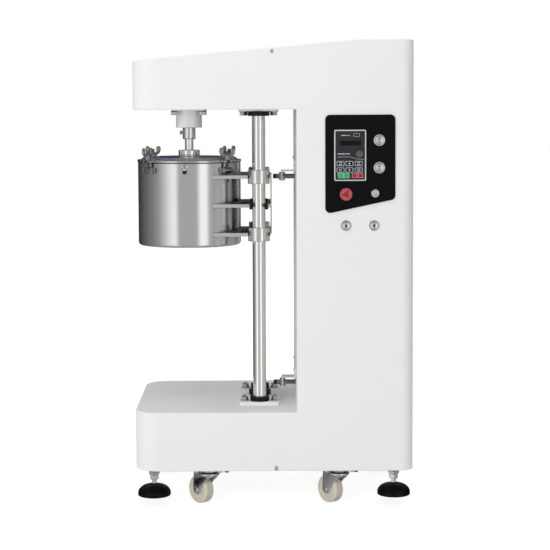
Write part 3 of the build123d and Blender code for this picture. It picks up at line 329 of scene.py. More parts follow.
def lid_steel(name, colour, roughness):
    """Turned lid steel with a painted blue reflection on the dome's left front. The painted reflection is the
    product of four ramps
    held between 0 and 1: one falls with X, one starts at a least X, one falls with Y, and one falls with the
    squared distance from the dome's middle."""
    tree = material_tree(name)
    marks = tree.noise(EVEN, 3.0)
    drift = tree.noise(24.0, 2.0)
    axes = tree.node("ShaderNodeSeparateXYZ", {0: tree.place()})
    x, y = (Reading(tree, axes.outputs[i]) for i in (0, 1))
    left = ((x + 0.204 + (drift - 0.5) * 0.03) * -32.0).held()
    start = ((x + 0.296) * 70.0).held()
    front = ((y + 0.03) * -40.0).held()
    reach = (x + 0.195) * (x + 0.195) + (y + 0.0131) * (y + 0.0131)
    dome = ((reach - 0.0133) * -900.0).held()
    bare = tree.blend(marks, shade(colour, 0.92), shade(colour, 1.05))
    # painted reflection: a blue tint mixed into the lid's colour where something blue would be mirrored
    painted_blue_reflection = tree.blend(left * start * front * dome, bare, (0.24, 0.27, 0.5))
    return tree.surface(painted_blue_reflection, drift * 0.06 + (roughness - 0.03), marks, 0.000006, 1.0)


def make_finishes():
    """Every finish of the machine, by its plain name."""
    colours = bpy.context.scene.mill_colours
    paint, steel, zinc, black, red = colours.paint, colours.steel, colours.zinc, colours.black, colours.red
    rows = {
        sprayed: {
            "white_paint": (paint, 0.3, 0.0),
            # the housing's white paint with a real clear coat; its colour is raised a little as painted light
            # against the head's shade
            "gloss_paint": (shade(paint, 1.06), 0.16, 0.5, 1.0),
            "bracket_paint": (shade(paint, 0.86), 0.38),
            "motor_paint": ((0.12, 0.16, 0.2), 0.5),
        },
        machined: {
            "ground_steel": (shade(steel, 1.22), 0.09, ROUND_Z, 0.000002, 0.04),
            "turned_steel": (shade(steel, 1.04), 0.14, ROUND_Z, 0.000004),
            "satin_steel": (shade(steel, 1.14), 0.24, ALONG_X, 0.000006),
            # painted shade: a darkened copy of the carrier's steel for plate faces that lie in shade
            "plate_face": (shade(steel, 0.3), 0.4, EVEN, 0.00001, 0.2),
            "jar_steel": (colours.jar_steel, 0.16, ROUND_Z, 0.000008, 0.05),
            "weld_steel": (shade(steel, 0.7), 0.34, EVEN, 0.00002, 0.2),
            "fitting_steel": (shade(steel, 1.1), 0.13, EVEN, 0.000003),
            "bolt_steel": (shade(steel, 0.46), 0.13, EVEN, 0.000003, 0.2),
            "button_steel": (shade(steel, 1.2), 0.12, EVEN, 0.000002),
            "cap_steel": (shade(steel, 1.1), 0.07, EVEN, 0.0000005, 0.05),
            "black_steel": ((0.03, 0.03, 0.032), 0.34, EVEN, 0.00001, 0.25),
            "pulley_metal": (steel, 0.35, ROUND_Z),
            "sensor_metal": (shade(steel, 0.7), 0.22, EVEN),
        },
        lid_steel: {"lid_steel": (shade(steel, 0.74), 0.22)},
        plated: {"zinc": (zinc, 0.21), "bolt_zinc": (shade(zinc, 0.82), 0.14)},
        moulded: {
            "silver_trim": ((0.6, 0.61, 0.61), 0.34),
            "black_panel": (black, 0.24, 0.08),
            "keypad_grey": (colours.keypad, 0.45, 0.2),
            "window_black": ((0.004, 0.006, 0.005), 0.12, 0.15),
            "key_black": ((0.006, 0.006, 0.007), 0.4, 0.15),
            "print_grey": (colours.print_grey, 0.5),
            "green_print": ((0.25, 0.66, 0.36), 0.45),
            "red_print": ((0.72, 0.36, 0.38), 0.45),
            "green_key": (colours.green, 0.42),
            "red_key": (shade(red, 0.9), 0.42),
            "stop_red": (red, 0.3),
            "stop_print": ((0.62, 0.16, 0.18), 0.42),
            "knob_black": ((0.02, 0.021, 0.023), 0.4, 0.3),
            "knob_grey": ((0.085, 0.086, 0.09), 0.38),
            "foot_black": (shade(black, 0.5), 0.34, 0.12, 420.0),
            "belt_rubber": ((0.02, 0.02, 0.02), 0.7),
            "seal_rubber": ((0.012, 0.012, 0.014), 0.45, 0.3),
            "wheel_nylon": (colours.nylon, 0.42, 0.5, 300.0),
        },
    }
    for maker, finishes in rows.items():
        for name, values in finishes.items():
            FINISHES[name] = maker(name, *values)


# Shapes


def unit(vectors):
    """Vectors brought to a length of 1."""
    return vectors / np.maximum(np.linalg.norm(vectors, axis=-1, keepdims=True), 1e-9)


def place(origin, up=(0.0, 0.0, 1.0), across=(1.0, 0.0, 0.0)):
    """Turns local points into the machine's frame: origin + x * across + y * (up x across) + z * up."""
    up = unit(np.array(up, float))
    across = unit(np.array(across, float) - np.dot(across, up) * up)
    axes = np.stack([across, np.cross(up, across), up])
    start = np.array(origin, float)
    return lambda local: np.asarray(local, float) @ axes + start


def upright(x, y, z=0.0, turn=0.0):
    """A place whose local axes are the machine's own, or turned about Z."""
    return place((x, y, z), across=(math.cos(turn), math.sin(turn), 0.0))


def facing_front(x, z, y=0.0, turn=0.0):
    """A place whose local Z comes out of the front, with local X to the right and local Y up."""
    return place((x, y, z), (0.0, -1.0, 0.0), (math.cos(turn), 0.0, math.sin(turn)))


def shifted(at, *offset):
    """A place moved by local lengths."""
    return lambda local: at(np.asarray(local) + offset)


def standing(x, y, turn):
    """An upright plane turned about Z: local X outward along the turn, local Y up."""
    sine, cosine = math.sin(turn), math.cos(turn)
    return place((x, y, 0.0), (sine, -cosine, 0.0), (cosine, sine, 0.0))


def softened(corners, radius, steps=5, closed=False):
    """Corners rounded by quadratic curves: (1-s)^2 A + 2 s (1-s) P + s^2 B, with A and B a radius from P."""
    corners = np.asarray(corners, float)
    radii = np.broadcast_to(radius, len(corners))
    s = np.linspace(0.0, 1.0, steps)[:, None]
    pieces = []
    for i, corner in enumerate(corners):
        if not closed and i in (0, len(corners) - 1):
            pieces.append(corner[None])
            continue
        before = corners[i - 1] - corner
        after = corners[(i + 1) % len(corners)] - corner
        reach = min(radii[i], 0.48 * np.linalg.norm(before), 0.48 * np.linalg.norm(after))
        a, b = corner + unit(before) * reach, corner + unit(after) * reach
        pieces.append((1 - s) ** 2 * a + 2 * s * (1 - s) * corner + s**2 * b)
    return np.concatenate(pieces)


def wall(inner, outer, low, high):
    """The four corners of a ring's section."""
    return [(inner, low), (outer, low), (outer, high), (inner, high)]


def box_outline(width, height, radius, centre=(0.0, 0.0)):
    """A rectangle with round corners, anticlockwise."""
    x, y = width / 2, height / 2
    corners = np.array([(-x, -y), (x, -y), (x, y), (-x, y)]) + centre
    return softened(corners, radius, 6, closed=True)


def arc(radius, start, end, count, centre=(0.0, 0.0)):
    """Points on a circle from one angle to another."""
    angle = np.linspace(start, end, count)
    return radius * np.column_stack([np.cos(angle), np.sin(angle)]) + centre


def circle(radius, count):
    """A closed circle, anticlockwise."""
    return arc(radius, 0.0, FULL_TURN, count + 1)[:-1]


def table(*columns):
    """Columns of points side by side; a single number fills its column."""
    return np.column_stack(np.broadcast_arrays(*columns))


def lifted(outline, height):
    """A flat outline at a height."""
    return table(outline[:, 0], outline[:, 1], height)


def drawn_in(outline, distance):
    """An anticlockwise outline moved inward along the mean normal of each point's two edges."""
    along = unit(unit(np.roll(outline, -1, 0) - outline) + unit(outline - np.roll(outline, 1, 0)))
    return outline + distance * np.stack([-along[:, 1], along[:, 0]], axis=1)


def hexagon(flats):
    """Radius cut to a hexagon: half the flats over the angle's cosine, where that is the smaller."""
    sixth = FULL_TURN / 6
    return lambda r, angle, h: np.minimum(r, flats / 2 / np.cos((angle + sixth / 2) % sixth - sixth / 2))


def threaded(depth, pitch, flat=False):
    """Radius less a triangle wave of the given depth that rises by one pitch in a turn. For a lead screw the
    wave's crests and roots are cut flat."""
    def radius(r, angle, h):
        wave = np.abs(((h / pitch - angle / FULL_TURN) % 1.0) * 2 - 1)
        return r - depth * (np.clip(wave * 3.0 - 1.0, 0.0, 1.0) if flat else wave)
    return radius


def ribbed(count, depth):
    """Radius less a cosine with so many ribs round the turn."""
    return lambda r, angle, h: r - depth * (0.5 - 0.5 * np.cos(count * angle)) + 0 * h


def stepped(profile, step):
    """A profile with points added so that no two are further apart in height than a step."""
    profile = np.asarray(profile, float)
    pieces = []
    for a, b in zip(profile[:-1], profile[1:]):
        count = max(1, int(math.ceil(abs(b[1] - a[1]) / step)))
        pieces.append(a + (b - a) * (np.arange(count) / count)[:, None])
    return np.concatenate(pieces + [profile[-1:]])


class Form:
    """Closed shells, in millimetres, that together make one piece."""

    def __init__(self):
        self.points = []
        self.faces = []
        self.finishes = []
        self.count = 0

    def loft(self, rings, closed=False, finish=0):
        """Equal rings of points joined by quads. Open rows end in a flat face each; closed ones join up."""
        rings = np.asarray(rings, float)
        rows, columns = rings.shape[:2]
        index = self.count + np.arange(rows * columns).reshape(rows, columns)
        low = index if closed else index[:-1]
        high = np.roll(index, -1, 0) if closed else index[1:]
        quads = np.stack([low, np.roll(low, -1, 1), np.roll(high, -1, 1), high], axis=-1)
        faces = quads.reshape(-1, 4).tolist()
        if not closed:
            faces += [index[0][::-1].tolist(), index[-1].tolist()]
        self.points.append(rings.reshape(-1, 3))
        self.count += rows * columns
        self.faces += faces
        self.finishes += [finish] * len(faces)

    def turn(self, profile, at, sides=64, radius=None, closed=False, finish=0):
        """A profile of (radius, height) turned about local Z; radius changes it by angle and height."""
        profile = np.asarray(profile, float)
        angle = np.linspace(0.0, FULL_TURN, sides, endpoint=False)[None, :]
        r, h = profile[:, :1], profile[:, 1:]
        reach = r + 0 * angle if radius is None else radius(r, angle, h) + 0 * angle
        local = np.stack([reach * np.cos(angle), reach * np.sin(angle), h + 0 * angle], axis=-1)
        self.loft(at(local), closed, finish)

    def rounded(self, corners, radii, steps, at, sides, radius=None, finish=0):
        """A solid turned from a profile with softened corners, from the axis and back to it."""
        self.turn(softened(corners, radii, steps), at, sides, radius, finish=finish)

    def ring(self, corners, radii, steps, at, sides, radius=None, finish=0):
        """A ring turned from a closed profile with softened corners."""
        self.turn(softened(corners, radii, steps, closed=True), at, sides, radius, True, finish)

    def plate(self, outline, low, high, at, edge=0.6, finish=0, steps=4):
        """A plate on an anticlockwise outline; its edges follow a quarter circle at both faces."""
        low, high = sorted((low, high))
        turn = np.linspace(0.0, QUARTER, steps)
        insets = np.concatenate([edge * (1 - np.sin(turn)), edge * (1 - np.sin(turn[::-1]))])
        heights = np.concatenate([low + edge * (1 - np.cos(turn)), high - edge * (1 - np.cos(turn[::-1]))])
        outline = np.asarray(outline, float)
        rings = [lifted(drawn_in(outline, inset), height) for inset, height in zip(insets, heights)]
        self.loft(at(np.array(rings)), finish=finish)

    def band(self, outline, width, low, high, at, finish=0):
        """A flat strip that follows a closed outline, width wide inward."""
        inner = drawn_in(outline, width)
        rings = [lifted(*row) for row in ((outline, low), (outline, high), (inner, high), (inner, low))]
        self.loft(at(np.array(rings)), closed=True, finish=finish)

    def tube(self, path, radius, side, sides=24, finish=0):
        """A round section carried square to a flat path; side is the direction square to the path's plane."""
        tangent = unit(np.gradient(path, axis=0))
        side = np.array(side, float)
        normal = np.cross(tangent, side)
        angle = np.linspace(0.0, FULL_TURN, sides, endpoint=False)[None, :, None]
        radii = np.broadcast_to(radius, len(path))[:, None, None]
        rings = path[:, None] + radii * (np.cos(angle) * normal[:, None] + np.sin(angle) * side)
        self.loft(rings, finish=finish)

    def hex_head(self, at, flats, low, high, finish=0):
        """A hexagon with its corners turned off by a cone at both faces."""
        corner, face = flats / 2 / math.cos(math.pi / 6), 0.47 * flats
        rise = (corner - face) * 0.55
        profile = [(face, low), (corner, low + rise), (corner, high - rise), (face, high)]
        self.turn(stepped(profile, rise / 4), at, 72, hexagon(flats), finish=finish)

    def thread(self, profile, at, sides=32, finish=0):
        """A bolt's thread on a profile."""
        sizes = bpy.context.scene.mill_sizes
        pitch = sizes.bolt_pitch / MM
        self.turn(stepped(profile, pitch / 6), at, sides, threaded(sizes.bolt_depth / MM, pitch), finish=finish)

    def hex_bolt(self, at, low, end, finish=0):
        """A hexagon head from a height upward, with a threaded shank that runs to the height end."""
        high = low + BOLT_HEAD
        self.hex_head(at, BOLT_FLATS, low, high, finish)
        start = high - 1.0 if end > high else low + 1.0
        tip = np.sign(end - start)
        self.thread([(BOLT_SHANK, start), (BOLT_SHANK, end - tip), (BOLT_SHANK - 0.9, end)], at, 30, finish)

    def washer(self, at, radius, bore, low, high, finish=0):
        """A flat ring with broken edges."""
        self.ring(wall(bore, radius, low, high), 0.4, 3, at, 40, finish=finish)

    def cross_screw(self, at, radius, height):
        """A pan head: height falls with the square of the radius, less a cross-shaped recess at the middle."""
        angle = np.linspace(0.0, FULL_TURN, 48, endpoint=False)[None, :]
        shares = [1.0, 1.0, 0.97, 0.9, 0.8, 0.7, 0.62, 0.54, 0.44, 0.34, 0.24, 0.14, 0.05]
        reach = radius * np.array(shares)[:, None]
        level = height * (1.0 - 0.45 * (reach / radius) ** 2)
        level[0] = 0.0
        arm = np.minimum(np.abs(np.cos(angle)), np.abs(np.sin(angle))) * reach
        recess = (arm < 0.13 * radius) & (reach < 0.6 * radius)
        heights = level - 0.55 * height * recess
        self.loft(at(np.stack([reach * np.cos(angle), reach * np.sin(angle), heights], axis=-1)))

    def piece(self, name, body, finishes, replaced=(), slot=None):
        """The form as an object that rides on a body, with faces outward and no doubled points."""
        mesh = bpy.data.meshes.new(name)
        mesh.from_pydata(np.concatenate(self.points) * MM, [], self.faces)
        for finish in finishes:
            mesh.materials.append(FINISHES[finish])
        mesh.polygons.foreach_set("material_index", np.array(self.finishes, np.int32))
        work = bmesh.new()
        work.from_mesh(mesh)
        bmesh.ops.remove_doubles(work, verts=work.verts, dist=1e-7)
        bmesh.ops.recalc_face_normals(work, faces=work.faces)
        work.to_mesh(mesh)
        work.free()
        mesh.polygons.foreach_set("use_smooth", np.ones(len(mesh.polygons), bool))
        mesh.set_sharp_from_angle(angle=math.radians(34.0))
        mesh.update()
        made = bpy.data.objects.new(name, mesh)
        bpy.context.scene.collection.objects.link(made)
        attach(made, body)
        if replaced:
            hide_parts(*replaced)
        return made

    def looks(self, node, body, slot, *finishes):
        """The form in place of a node, in the slot's own finish if no other is given."""
        return self.piece(f"{node}_look", body, finishes or (slot,), [node], slot)


# Operators


class MILL_OT_finishes(bpy.types.Operator):
    """Give every node that keeps its own shape its finish."""

    bl_idname = "mill.finishes"
    bl_label = "Finishes"

    def execute(self, context):
        make_finishes()
        finishes = {part["node"]: part["material_slot"] for part in frame["record"]["subparts"]}
        finishes.update(pillar_plates="white_paint")
        for name, node in frame["nodes"].items():
            material = FINISHES[finishes[name]]
            if not node.data.materials:
                node.data.materials.append(material)
            for i in range(len(node.data.materials)):
                node.data.materials[i] = material
        return {"FINISHED"}


class MILL_OT_jar(bpy.types.Operator):
    """Turn the jar, and add its hinge lugs and weld beads."""

    bl_idname = "mill.jar"
    bl_label = "Jar"

    def execute(self, context):
        sizes = context.scene.mill_sizes
        bottom, top = JAR.low[2], JAR.high[2]
        inner, floor = JAR.radius - sizes.jar_wall / MM, bottom + sizes.jar_wall / MM
        corners = [
            (0.5, bottom), (JAR.radius, bottom), (JAR.radius, top - 0.01), (JAR.radius, top), (inner, top),
            (inner, floor), (0.5, floor),
        ]
        profile = softened(corners, (0, 8.0, 0.5, 0.8, 0.8, 6.0, 0), 8)
        jar = Form()
        axis = upright(SPINDLE[0], SPINDLE[1])
        jar.turn(stepped(profile, 24.0), axis, 256)
        for angle in CLOSURE_ANGLES:
            at = standing(SPINDLE[0], SPINDLE[1], angle)
            self.lugs(jar, at, (math.sin(angle), -math.cos(angle), 0.0))
        jar.piece("jar_body", "carrier", ("jar_steel", "weld_steel", "bolt_steel"), ["jar"], "jar_steel")

        welds = Form()
        ripple = sizes.bead / MM * (1.0 + 0.14 * np.cos(np.arange(260) * 1.9))
        for level in [z + offset for z in (746.0, 680.0, 614.0) for offset in (-4.0, 4.0)]:
            path = axis(lifted(arc(JAR.radius + 0.4, -math.pi / 3, math.pi / 3, 260), level))
            welds.tube(path, ripple, (0.0, 0.0, 1.0), 8)
        welds.piece("jar_welds", "carrier", ("weld_steel",), slot="jar_steel")
        return {"FINISHED"}

    def lugs(self, jar, at, pin):
        """A pair of hinge lugs with round ends, and the rippled beads that weld them to the wall."""
        root = JAR.radius - 1.5
        tip = arc(7.0, -QUARTER, QUARTER, 16, (CLOSURE_RADIUS, PIVOT))
        outline = np.concatenate([[(root, PIVOT - 9.0)], tip, [(root, PIVOT + 9.0)]])
        rise = np.linspace(PIVOT - 8.5, PIVOT + 8.5, 30)
        for side in (-1, 1):
            near, far = side * (EYE_HALF + LUG_GAP), side * PIN_HALF
            jar.plate(outline, near, far, at, 0.9, finish=2)
            for edge in (near + side * 0.2, far):
                path = at(table(JAR.radius + 0.2, rise, edge))
                jar.tube(path, 1.3 + 0.18 * np.cos(rise * 3.2), pin, 10, finish=1)


class MILL_OT_lid(bpy.types.Operator):
    """Turn the lid: a low flat dome over a thick rim, with four slotted ears."""

    bl_idname = "mill.lid"
    bl_label = "Lid"

    def execute(self, context):
        bottom, top = LID.low[2], LID.high[2]
        rim_top, rim, bore = bottom + 5.0, 121.5, 18.0
        corners = [
            (bore, bottom), (rim, bottom), (rim, rim_top), (rim - 8.5, rim_top + 0.2),
            (rim - 13.5, top - 0.9), (62.0, top - 0.4), (34.0, top - 0.3), (33.0, top), (bore, top),
        ]
        lid = Form()
        radii = (0.4, 0.5, 0.9, 3.0, 4.0, 12.0, 0.8, 0.2, 0.4)
        lid.ring(corners, radii, 7, upright(SPINDLE[0], SPINDLE[1]), 256)
        root, reach, half, slot = rim - 7.0, CLOSURE_RADIUS + 4.0, 13.0, 5.0
        notch = arc(slot, -QUARTER, -3 * QUARTER, 12, (CLOSURE_RADIUS, 0.0))
        outline = np.concatenate([
            [(root, -half), (reach - 2.0, -half), (reach, -half + 2.0), (reach, -slot)], notch,
            [(reach, slot), (reach, half - 2.0), (reach - 2.0, half), (root, half)],
        ])
        for angle in CLOSURE_ANGLES:
            lid.plate(outline, bottom + 0.1, rim_top - 0.1, upright(SPINDLE[0], SPINDLE[1], turn=angle), 0.5)
        lid.looks("jar_lid", "carrier", "jar_steel", "lid_steel")
        return {"FINISHED"}


class MILL_OT_carrier(bpy.types.Operator):
    """Cut the carrier's three plates round the jar and the pillars, and stand the tie plate at their ends."""

    bl_idname = "mill.carrier"
    bl_label = "Carrier"

    def execute(self, context):
        node = Extent("carrier_frame")
        low, high = node.low, node.high
        tie_back = high[0] - 3.0
        carrier = Form()
        here = upright(0.0, 0.0)
        for drop, bay in ((TOP_DROP, WIDE_BAY), (MIDDLE_DROP, CLOSE_BAY), (LOWER_DROP, WIDE_BAY)):
            level = JAR.high[2] - drop
            outline = self.outline(low[1], high[1], tie_back, bay)
            start = len(carrier.finishes)
            carrier.plate(outline, level - 4.0, level + 4.0, here, 0.35)
            # painted shade on the plate's top and bottom faces
            carrier.finishes[-2:] = [1, 1]
            # painted shade in the middle plate's bays round the pillars
            if drop == MIDDLE_DROP:
                self.paint_bay_shade(carrier, start, len(outline))
        level = JAR.high[2] - MIDDLE_DROP
        for y, side in zip(PILLAR_YS, (1, -1)):
            outer, inner = (arc(radius, 0.0, math.pi, BAY_POINTS) for radius in (21.75, 16.2))
            saddle = np.concatenate([outer, inner[::-1]]) * (1.0, side) + (LIFT[0], y)
            carrier.plate(saddle[::side], level - 9.5, level + 5.6, here, 0.5, finish=2)
        tie = box_outline(2.99, 60.0, 0.4, (tie_back + 1.5, node.centre[1]))
        carrier.plate(tie, low[2], high[2], here, 0.3)
        carrier.looks("carrier_frame", "carrier", "satin_steel", "satin_steel", "plate_face", "knob_black")
        return {"FINISHED"}

    def paint_bay_shade(self, carrier, start, columns):
        """Painted shade on a plate's edge faces within its two bays, in the same darkened steel as the plates'
        top and bottom faces.
        """
        for row in range(7):
            for first in (1, BAY_POINTS + 5):
                bay = start + row * columns + first
                carrier.finishes[bay:bay + BAY_POINTS + 1] = [1] * (BAY_POINTS + 1)

    def outline(self, front, rear, right, bay):
        """A rectangle less a circle round the jar, and less a round-ended bay at the front and rear pillar."""
        hole = JAR.radius + 0.1
        turn = math.asin((SPINDLE[1] - front) / hole)
        cut = arc(hole, turn, -turn, 72, SPINDLE[:2])
        half = arc(bay, math.pi, 0.0, BAY_POINTS, (LIFT[0], 0.0))
        first, last = half[0, 0], half[-1, 0]
        near = [[(first, front)], half + (0.0, PILLAR_YS[0]), [(last, front)]]
        back = [[(last, rear)], half[::-1] * (1.0, -1.0) + (0.0, PILLAR_YS[1]), [(first, rear)]]
        return np.concatenate([cut[-1:], *near, [(right, front), (right, rear)], *back, cut[:-1]])


class MILL_OT_lid_fittings(bpy.types.Operator):
    """Shape the gland nut and the vent elbow with its cap."""

    bl_idname = "mill.lid_fittings"
    bl_label = "Lid fittings"

    def execute(self, context):
        self.gland(Extent("gland_nut"), context.scene.mill_sizes.gland_notch / MM)
        self.elbow(Extent("vent_elbow"))
        return {"FINISHED"}

    def gland(self, node, depth):
        """A nut with a sunk top and eight notches."""
        bottom, top, outer, bore = node.low[2], node.high[2], node.radius, 10.3

        def notched(r, angle, h):
            """Radius less a notch's depth near each eighth of the turn, on the outer wall only."""
            eighth = FULL_TURN / 8
            off = np.abs((angle + eighth / 2) % eighth - eighth / 2)
            return r - depth * np.clip((0.13 - off) * 50.0, 0.0, 1.0) * (r > outer - 3.0)

        corners = [
            (bore, bottom), (outer, bottom), (outer, top), (19.0, top), (18.0, top - 1.6), (bore, top - 1.6),
        ]
        nut = Form()
        nut.ring(corners, (0.4, 1.0, 1.8, 0.6, 0.6, 0.6), 4, upright(SPINDLE[0], SPINDLE[1]), 192, notched)
        nut.looks("gland_nut", "carrier", "fitting_steel")

    def elbow(self, node):
        """A boss and hexagon on the jar's wall, a bent pipe and a ribbed cap at its lower end."""
        x, front, top = node.centre[0], node.low[1] + 6.5, node.high[2] - 6.5
        wall_y = SPINDLE[1] - JAR.radius
        elbow = Form()
        boss = place((x, wall_y + 1.5, top), (0.0, -1.0, 0.0))
        elbow.rounded(wall(0.5, 6.4, 0.0, 4.0), 0.8, 4, boss, 36)
        elbow.hex_head(boss, 11.0, 4.0, 7.5)
        bend = np.linspace(0.0, QUARTER, 14)
        radius = 6.0
        curve = table(x, front + radius - radius * np.sin(bend), top - radius + radius * np.cos(bend))
        path = np.concatenate([[(x, wall_y - 1.0, top)], curve, [(x, front, node.low[2] + 12.0)]])
        elbow.tube(path, 4.4, (1.0, 0.0, 0.0), 32)
        spout = upright(x, front, node.low[2] + 3.0)
        elbow.rounded(wall(0.5, 5.6, 8.5, 13.0), 0.9, 4, spout, 36)
        elbow.rounded(wall(0.5, 4.4, 0.0, 9.0), (0, 1.6, 0.4, 0), 5, spout, 48, ribbed(16, 0.25), finish=1)
        elbow.looks("vent_elbow", "carrier", "fitting_steel", "fitting_steel", "knob_black")


class MILL_OT_swing_bolts(bpy.types.Operator):
    """Shape the four eye bolts with their wing nuts and washers."""

    bl_idname = "mill.swing_bolts"
    bl_label = "Swing bolts"

    def execute(self, context):
        top = Extent("swing_bolt_1").high[2]
        for number, (angle, direction) in enumerate(zip(CLOSURE_ANGLES, WING_DIRECTIONS), start=1):
            bolt = Form()
            eye = shifted(standing(SPINDLE[0], SPINDLE[1], angle), CLOSURE_RADIUS, PIVOT, 0.0)
            bolt.rounded(wall(0.5, 5.8, -EYE_HALF, EYE_HALF), (0, 1.6, 1.6, 0), 5, eye, 40)
            outer = -PIN_HALF - 1.4
            head = [(0.4, outer), (4.2, outer), (4.2, -PIN_HALF), (2.9, -PIN_HALF)]
            head = softened(head, (0, 1.3, 0.3, 0), 4)
            tail = [(2.9, PIN_HALF), (4.2, PIN_HALF), (3.6, PIN_HALF + 1.2), (0.4, PIN_HALF + 1.4)]
            bolt.turn(np.concatenate([head, tail]), eye, 32)
            x = SPINDLE[0] + CLOSURE_RADIUS * math.cos(angle)
            y = SPINDLE[1] + CLOSURE_RADIUS * math.sin(angle)
            bolt.thread([(3.9, PIVOT + 5.0), (3.9, top - 11.2), (2.8, top - 10.0)], upright(x, y))
            nut = upright(x, y, JAR.high[2] + 7.4, direction)
            bolt.washer(nut, 9.0, 4.3, 0.0, 1.6)
            bolt.ring([(4.2, 1.6), (7.8, 1.6), (7.4, 5.0), (6.2, 13.5), (4.2, 13.5)], 0.9, 4, nut, 40)
            self.wings(bolt, nut)
            body = f"swing_bolt_{number}"
            bolt.looks(body, body, "fitting_steel", "bolt_steel")
        return {"FINISHED"}

    def wings(self, bolt, nut):
        """Two ears: ellipses along a curve that leaves the hub and turns upward into a wide round lobe."""
        s = np.linspace(0.0, 1.0, 30)
        leave = np.clip(s / 0.5, 0, 1)
        reach = 4.2 + 8.3 * leave * leave * (3.0 - 2.0 * leave) + 0.6 * s
        rise = 5.2 + 23.6 * s
        tangent = unit(table(np.gradient(reach), np.gradient(rise)))
        tip = np.sqrt(np.clip(1.0 - np.clip((s - 0.76) / 0.24, 0, 1) ** 2, 0.0004, 1))
        width = (3.6 + 1.9 * np.clip(s * 2.2 - 0.4, 0, 1)) * tip
        thick = (3.0 - 0.8 * s) * np.sqrt(tip)
        angle = np.linspace(0.0, FULL_TURN, 20, endpoint=False)[None, :]
        for side in (-1, 1):
            x = reach[:, None] - np.cos(angle) * (width * tangent[:, 1])[:, None]
            z = rise[:, None] + np.cos(angle) * (width * tangent[:, 0])[:, None]
            y = np.sin(angle) * thick[:, None] + 0 * x
            bolt.loft(nut(np.stack([side * x, side * y, z], axis=-1)))


class MILL_OT_spindle(bpy.types.Operator):
    """Shape the housing under the head, and the coupling sleeve with its knurled thumb screw."""

    bl_idname = "mill.spindle"
    bl_label = "Coupling"

    def execute(self, context):
        axis = upright(SPINDLE[0], SPINDLE[1])
        self.housing(axis)
        node = Extent("coupling_sleeve")
        radius, bottom = node.high[0] - SPINDLE[0], node.low[2]
        sleeve = Form()
        sleeve.ring(wall(10.4, radius, bottom, node.high[2]), (0.4, 2.2, 0.8, 0.4), 5, axis, 96)
        screw = place((SPINDLE[0] - radius + 1.0, SPINDLE[1], bottom + 15.5), (-1.0, 0.0, 0.0), (0.0, 1.0, 0.0))
        sleeve.turn([(2.6, 0.0), (2.6, 3.0)], screw, 24)
        sleeve.rounded(wall(0.4, 4.5, 2.0, 7.8), (0, 0.8, 0.8, 0), 4, screw, 96, ribbed(24, 0.4))
        sleeve.looks("coupling_sleeve", "spindle", "turned_steel")
        return {"FINISHED"}

    def housing(self, axis):
        """The tube below the head, and a thin square flange: its radius is 40 mm over the larger of the sine
        and cosine of the angle, cut off at the corners."""
        node, bore = Extent("spindle_housing"), Extent("bearings").radius
        tube_radius, flange_half, root = 30.0, 40.0, 29.5
        form = Form()
        corners = wall(bore, tube_radius, node.low[2], node.high[2])
        tube = softened(corners, (0.4, 1.6, 0.4, 0.4), 6, closed=True)
        form.turn(stepped(tube, 12.0), axis, 128, closed=True)

        def square(r, angle, h):
            side = np.maximum(np.abs(np.cos(angle)), np.abs(np.sin(angle)))
            return np.where(r > tube_radius + 1.0, r * np.minimum(1.0 / side, 1.31), r)

        under = HEAD_BOTTOM - FLANGE_DROP
        edge = [
            (root, under), (flange_half - 0.4, under), (flange_half, under + 0.4), (flange_half, HEAD_BOTTOM),
            (root, HEAD_BOTTOM),
        ]
        form.turn(edge, axis, 256, square, closed=True)
        # glossy white paint whose colour is lifted as painted light where the head shades the housing
        form.looks("spindle_housing", "cabinet", "white_paint", "gloss_paint")


